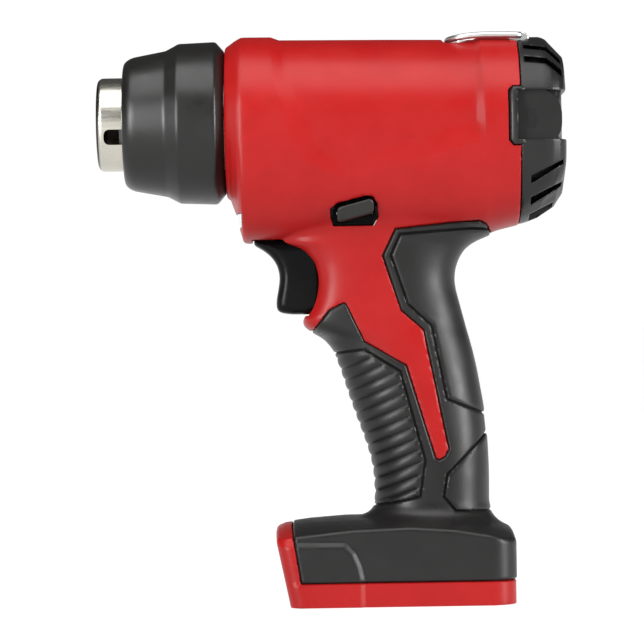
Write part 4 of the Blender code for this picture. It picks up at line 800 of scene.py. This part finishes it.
mica = {"frontX": -73.2, "rearX": -28.8, "inside": 14.3, "outside": 14.9}
micaLine = np.array([(mica["frontX"], mica["inside"]), (mica["frontX"], mica["outside"]),
                     (mica["rearX"], mica["outside"]), (mica["rearX"], mica["inside"])])
sleeve = turnedSurface("mica_liner", micaLine, micaSheet, 96)
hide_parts("mica_sleeve")
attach(sleeve, "housing")

coil = {"turns": 8, "radius": 12.6, "wire": 0.6, "startX": -67.2, "endX": -36.8}
angle = np.linspace(0, 2 * np.pi * coil["turns"], coil["turns"] * 48 + 1)
coilLine = np.column_stack([np.linspace(coil["startX"], coil["endX"], len(angle)), coil["radius"] * np.cos(angle),
                            axisZ + coil["radius"] * np.sin(angle)])
coilPiece = tubeAlong("element_coil", coilLine, coil["wire"], coilWire, 10)
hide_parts("heating_coil")
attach(coilPiece, "housing")
print("outlet end made")

# trigger, lock and bail

trigger = {"halfWidth": 9.9, "edge": 4.4,
           "outline": [(-3.0, 125.8), (-3.0, 99.7), (-15.2, 99.7), (-19.6, 100.6), (-19.9, 104.3), (-19.0, 108.6),
                       (-18.5, 112.4), (-18.9, 115.4), (-20.0, 118.0), (-21.8, 120.3), (-24.3, 122.3), (-27.3, 124.0),
                       (-27.2, 125.8)],
           "corner": [0.6, 0.6, 2.5, 3.5, 2.5, 2.5, 2.5, 2, 2, 2, 2, 0.8, 0.5]}
triggerLine = roundedLine(trigger["outline"], trigger["corner"], True, 3)


def triggerField(x, y, z):
    # the outline between two sides that draw in towards its lower corner, all edges rounded
    w = np.abs(y)
    side = w - trigger["halfWidth"] + 0.02 * np.maximum(118 - z, 0)
    return softMax(outlineField(x, z, triggerLine), side, trigger["edge"])


points, faces = contour(triggerField, (-29.0, -11.2, 98.5), (-1.5, 11.2, 127.5), 0.4)
finger = makeMesh("finger_trigger", points, faces, triggerShadedBlack, 50.0)
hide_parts("trigger")
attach(finger, "trigger")


def shadeLinerField(x, w, z):
    # a black liner ring stands in the hole round the knob as painted shade in the gap, with a plate behind that only
    # lets the bar through
    hole = outlineField(x, z, lockHole)
    ring = np.maximum(np.maximum(hole, -0.75 - hole), np.maximum(11.0 - w, bodyField(x, w, z) + 0.9))
    plate = np.maximum(np.maximum(hole, 0.1 - outlineField(x, z, lockBar)), np.maximum(11.0 - w, w - 12.4))
    return np.minimum(ring, plate)


# black liners round the lock knob: a dark ring as painted shade in the hole's gap, and a plate that blocks the view
# through
for side, word in ((-1, "left"), (1, "right")):
    points, faces = contour(shadeLinerField, (-2.6, 10.0, 128.4), (18.0, 22.5, 142.4), 0.45)
    if side < 0:
        points, faces = points * [1, -1, 1], faces[:, ::-1]
    liner = makeMesh("lock_shade_liner_" + word, points, faces, triggerShadedBlack, 42.0)
    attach(liner, "housing")

lock = {"halfWidth": 23.3, "edge": 0.8, "middle": -3.0, "corner": 1.0, "slant": 0.45}
knob = pillowPrism("lock_knob", roundedLine(lockBar, lock["corner"], True, 5), lock["halfWidth"], lock["edge"],
                   knobGrey, lock["middle"], lock["slant"])
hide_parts("lock_shuttle")
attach(knob, "lock")

bail = {"radius": 1.1, "halfWidth": 10.5, "length": 24.7, "pivotX": 66.0, "z": 195.5}
x, z, h = bail["pivotX"], bail["z"], bail["halfWidth"]
end = x - bail["length"]
leg = [(x, 4.5, z), (x, 6.5, z), (x, h - 1.2, z), (x - 0.5, h - 0.3, z), (x - 1.6, h, z), (x - 5.0, h, z + 0.1),
       (x - 11.0, h, z + 0.15), (x - 16.0, h, z), (x - 20.0, h - 0.5, z - 0.4), (end + 2.4, h - 2.0, z - 0.7),
       (end + 0.9, h - 4.3, z - 0.9), (end + 0.2, h - 7.2, z - 1.0)]
bailLine = throughPoints(leg + [(end, 0.0, z - 1.0)] + [(px, -py, pz) for px, py, pz in leg[::-1]], 8)
bow = tubeAlong("wire_bail", bailLine, bail["radius"], wireSteel, 18)
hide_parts("hang_bail")
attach(bow, "bail")

bracket = {"outline": [(62.5, 191.7), (69.5, 191.7), (69.5, 195.4), (67.6, 196.8), (64.3, 196.8), (62.5, 195.4)],
           "halfWidth": 7.4, "edge": 0.6}
hinge = pillowPrism("bail_hinge_block", roundedLine(bracket["outline"], 0.9, True, 4), bracket["halfWidth"],
                    bracket["edge"], wireSteel)
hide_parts("bail_bracket")
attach(hinge, "housing")
print("trigger, lock and bail made")

# finishes of the pieces that keep their shape from the frame
kept = {"heater_former": micaSheet, "nozzle_mounting_ring": micaSheet, "air_duct": micaSheet,
        "thermal_cutout": capBlack, "led_board": boardGreen, "control_board": boardGreen,
        "fan_shroud": innerGrey, "motor_can": screwSteel, "motor_end_bell": capBlack, "motor_shaft": wireSteel,
        "impeller": capBlack, "switch_plunger": innerGrey, "trigger_spring": wireSteel,
        "trigger_switch": innerGrey, "terminal_block": capBlack}
for name in nodes:
    if name.startswith("terminal_blade"):
        kept[name] = contactCopper
    elif name.startswith("housing_screw"):
        kept[name] = screwSteel
    elif "_lead_" in name:
        kept[name] = leadSleeves["white" if "heater" in name else "red" if "positive" in name else "black"]
for name, finish in kept.items():
    node = nodes[name]
    for slotOf in node.material_slots:
        slotOf.material = finish
    if not node.material_slots:
        node.data.materials.append(finish)
print("kept pieces finished:", len(kept))

# stage, lights and camera

studio = {"floorColour": (0.12, 0.12, 0.12), "floorGlow": 0.955, "floorReach": 30000.0, "floorZ": -0.3, "world": 1.02,
          "distance": 1.15, "lens": 183.7, "aimX": -0.00405, "aimZ": 0.0973, "roll": 0.9}
floorMaterial, _, _, floorShader = newMaterial("paleFloor")
floorShader.inputs["Base Color"].default_value = (*studio["floorColour"], 1)
floorShader.inputs["Roughness"].default_value = 0.6
floorShader.inputs["Emission Color"].default_value = (1, 1, 1, 1)
floorShader.inputs["Emission Strength"].default_value = studio["floorGlow"]
reach, level = studio["floorReach"], studio["floorZ"]
corners = [(-reach, -reach), (reach, -reach), (reach, reach), (-reach, reach)]
floorPoints = np.array([(x, y, level) for x, y in corners])
floor = makeMesh("floor", floorPoints, np.array([[0, 1, 2, 3]]), floorMaterial)

world = bpy.context.scene.world or bpy.data.worlds.new("studio")
bpy.context.scene.world = world
world.use_nodes = True
sky = world.node_tree
toward = sky.nodes.new("ShaderNodeTexCoord")
split = sky.nodes.new("ShaderNodeSeparateXYZ")
sky.links.new(toward.outputs["Generated"], split.inputs["Vector"])
# white up to the horizon and dim overhead
horizon = ramped(sky.nodes, sky.links, split.outputs["Z"], (1, 1, 1, 1), (0.06, 0.06, 0.06, 1), 0.10, 0.22)
sky.links.new(horizon.outputs["Color"], sky.nodes["Background"].inputs["Color"])
sky.nodes["Background"].inputs["Strength"].default_value = studio["world"]


def softbox(name, place, target, width, height, power):
    light = bpy.data.lights.new(name, "AREA")
    light.shape, light.size, light.size_y, light.energy = "RECTANGLE", width, height, power
    lamp = bpy.data.objects.new(name, light)
    lamp.location = place
    away = np.asarray(target, float) - np.asarray(place, float)
    yaw, pitch = math.atan2(-away[0], away[1]), math.atan2(away[2], math.hypot(away[0], away[1]))
    lamp.rotation_euler = (math.pi / 2 + pitch, 0, yaw)
    bpy.context.scene.collection.objects.link(lamp)


softbox("overhead", (-0.1, -0.5, 1.25), (0, 0, 0.12), 1.5, 1.0, 21)
softbox("left", (-0.77, -0.92, 0.34), (0, 0, 0.13), 0.36, 0.75, 17)
softbox("right", (1.05, -0.5, 0.3), (0, 0, 0.1), 0.34, 0.9, 22)

view = bpy.data.cameras.new("view")
view.lens, view.sensor_width, view.clip_start, view.clip_end = studio["lens"], 36.0, 0.05, 50.0
camera = bpy.data.objects.new("view", view)
camera.location = (studio["aimX"], -studio["distance"], studio["aimZ"])
camera.rotation_euler = (math.pi / 2, math.radians(studio["roll"]), 0)
bpy.context.scene.collection.objects.link(camera)
bpy.context.scene.camera = camera
bpy.context.scene.view_settings.view_transform = "Standard"
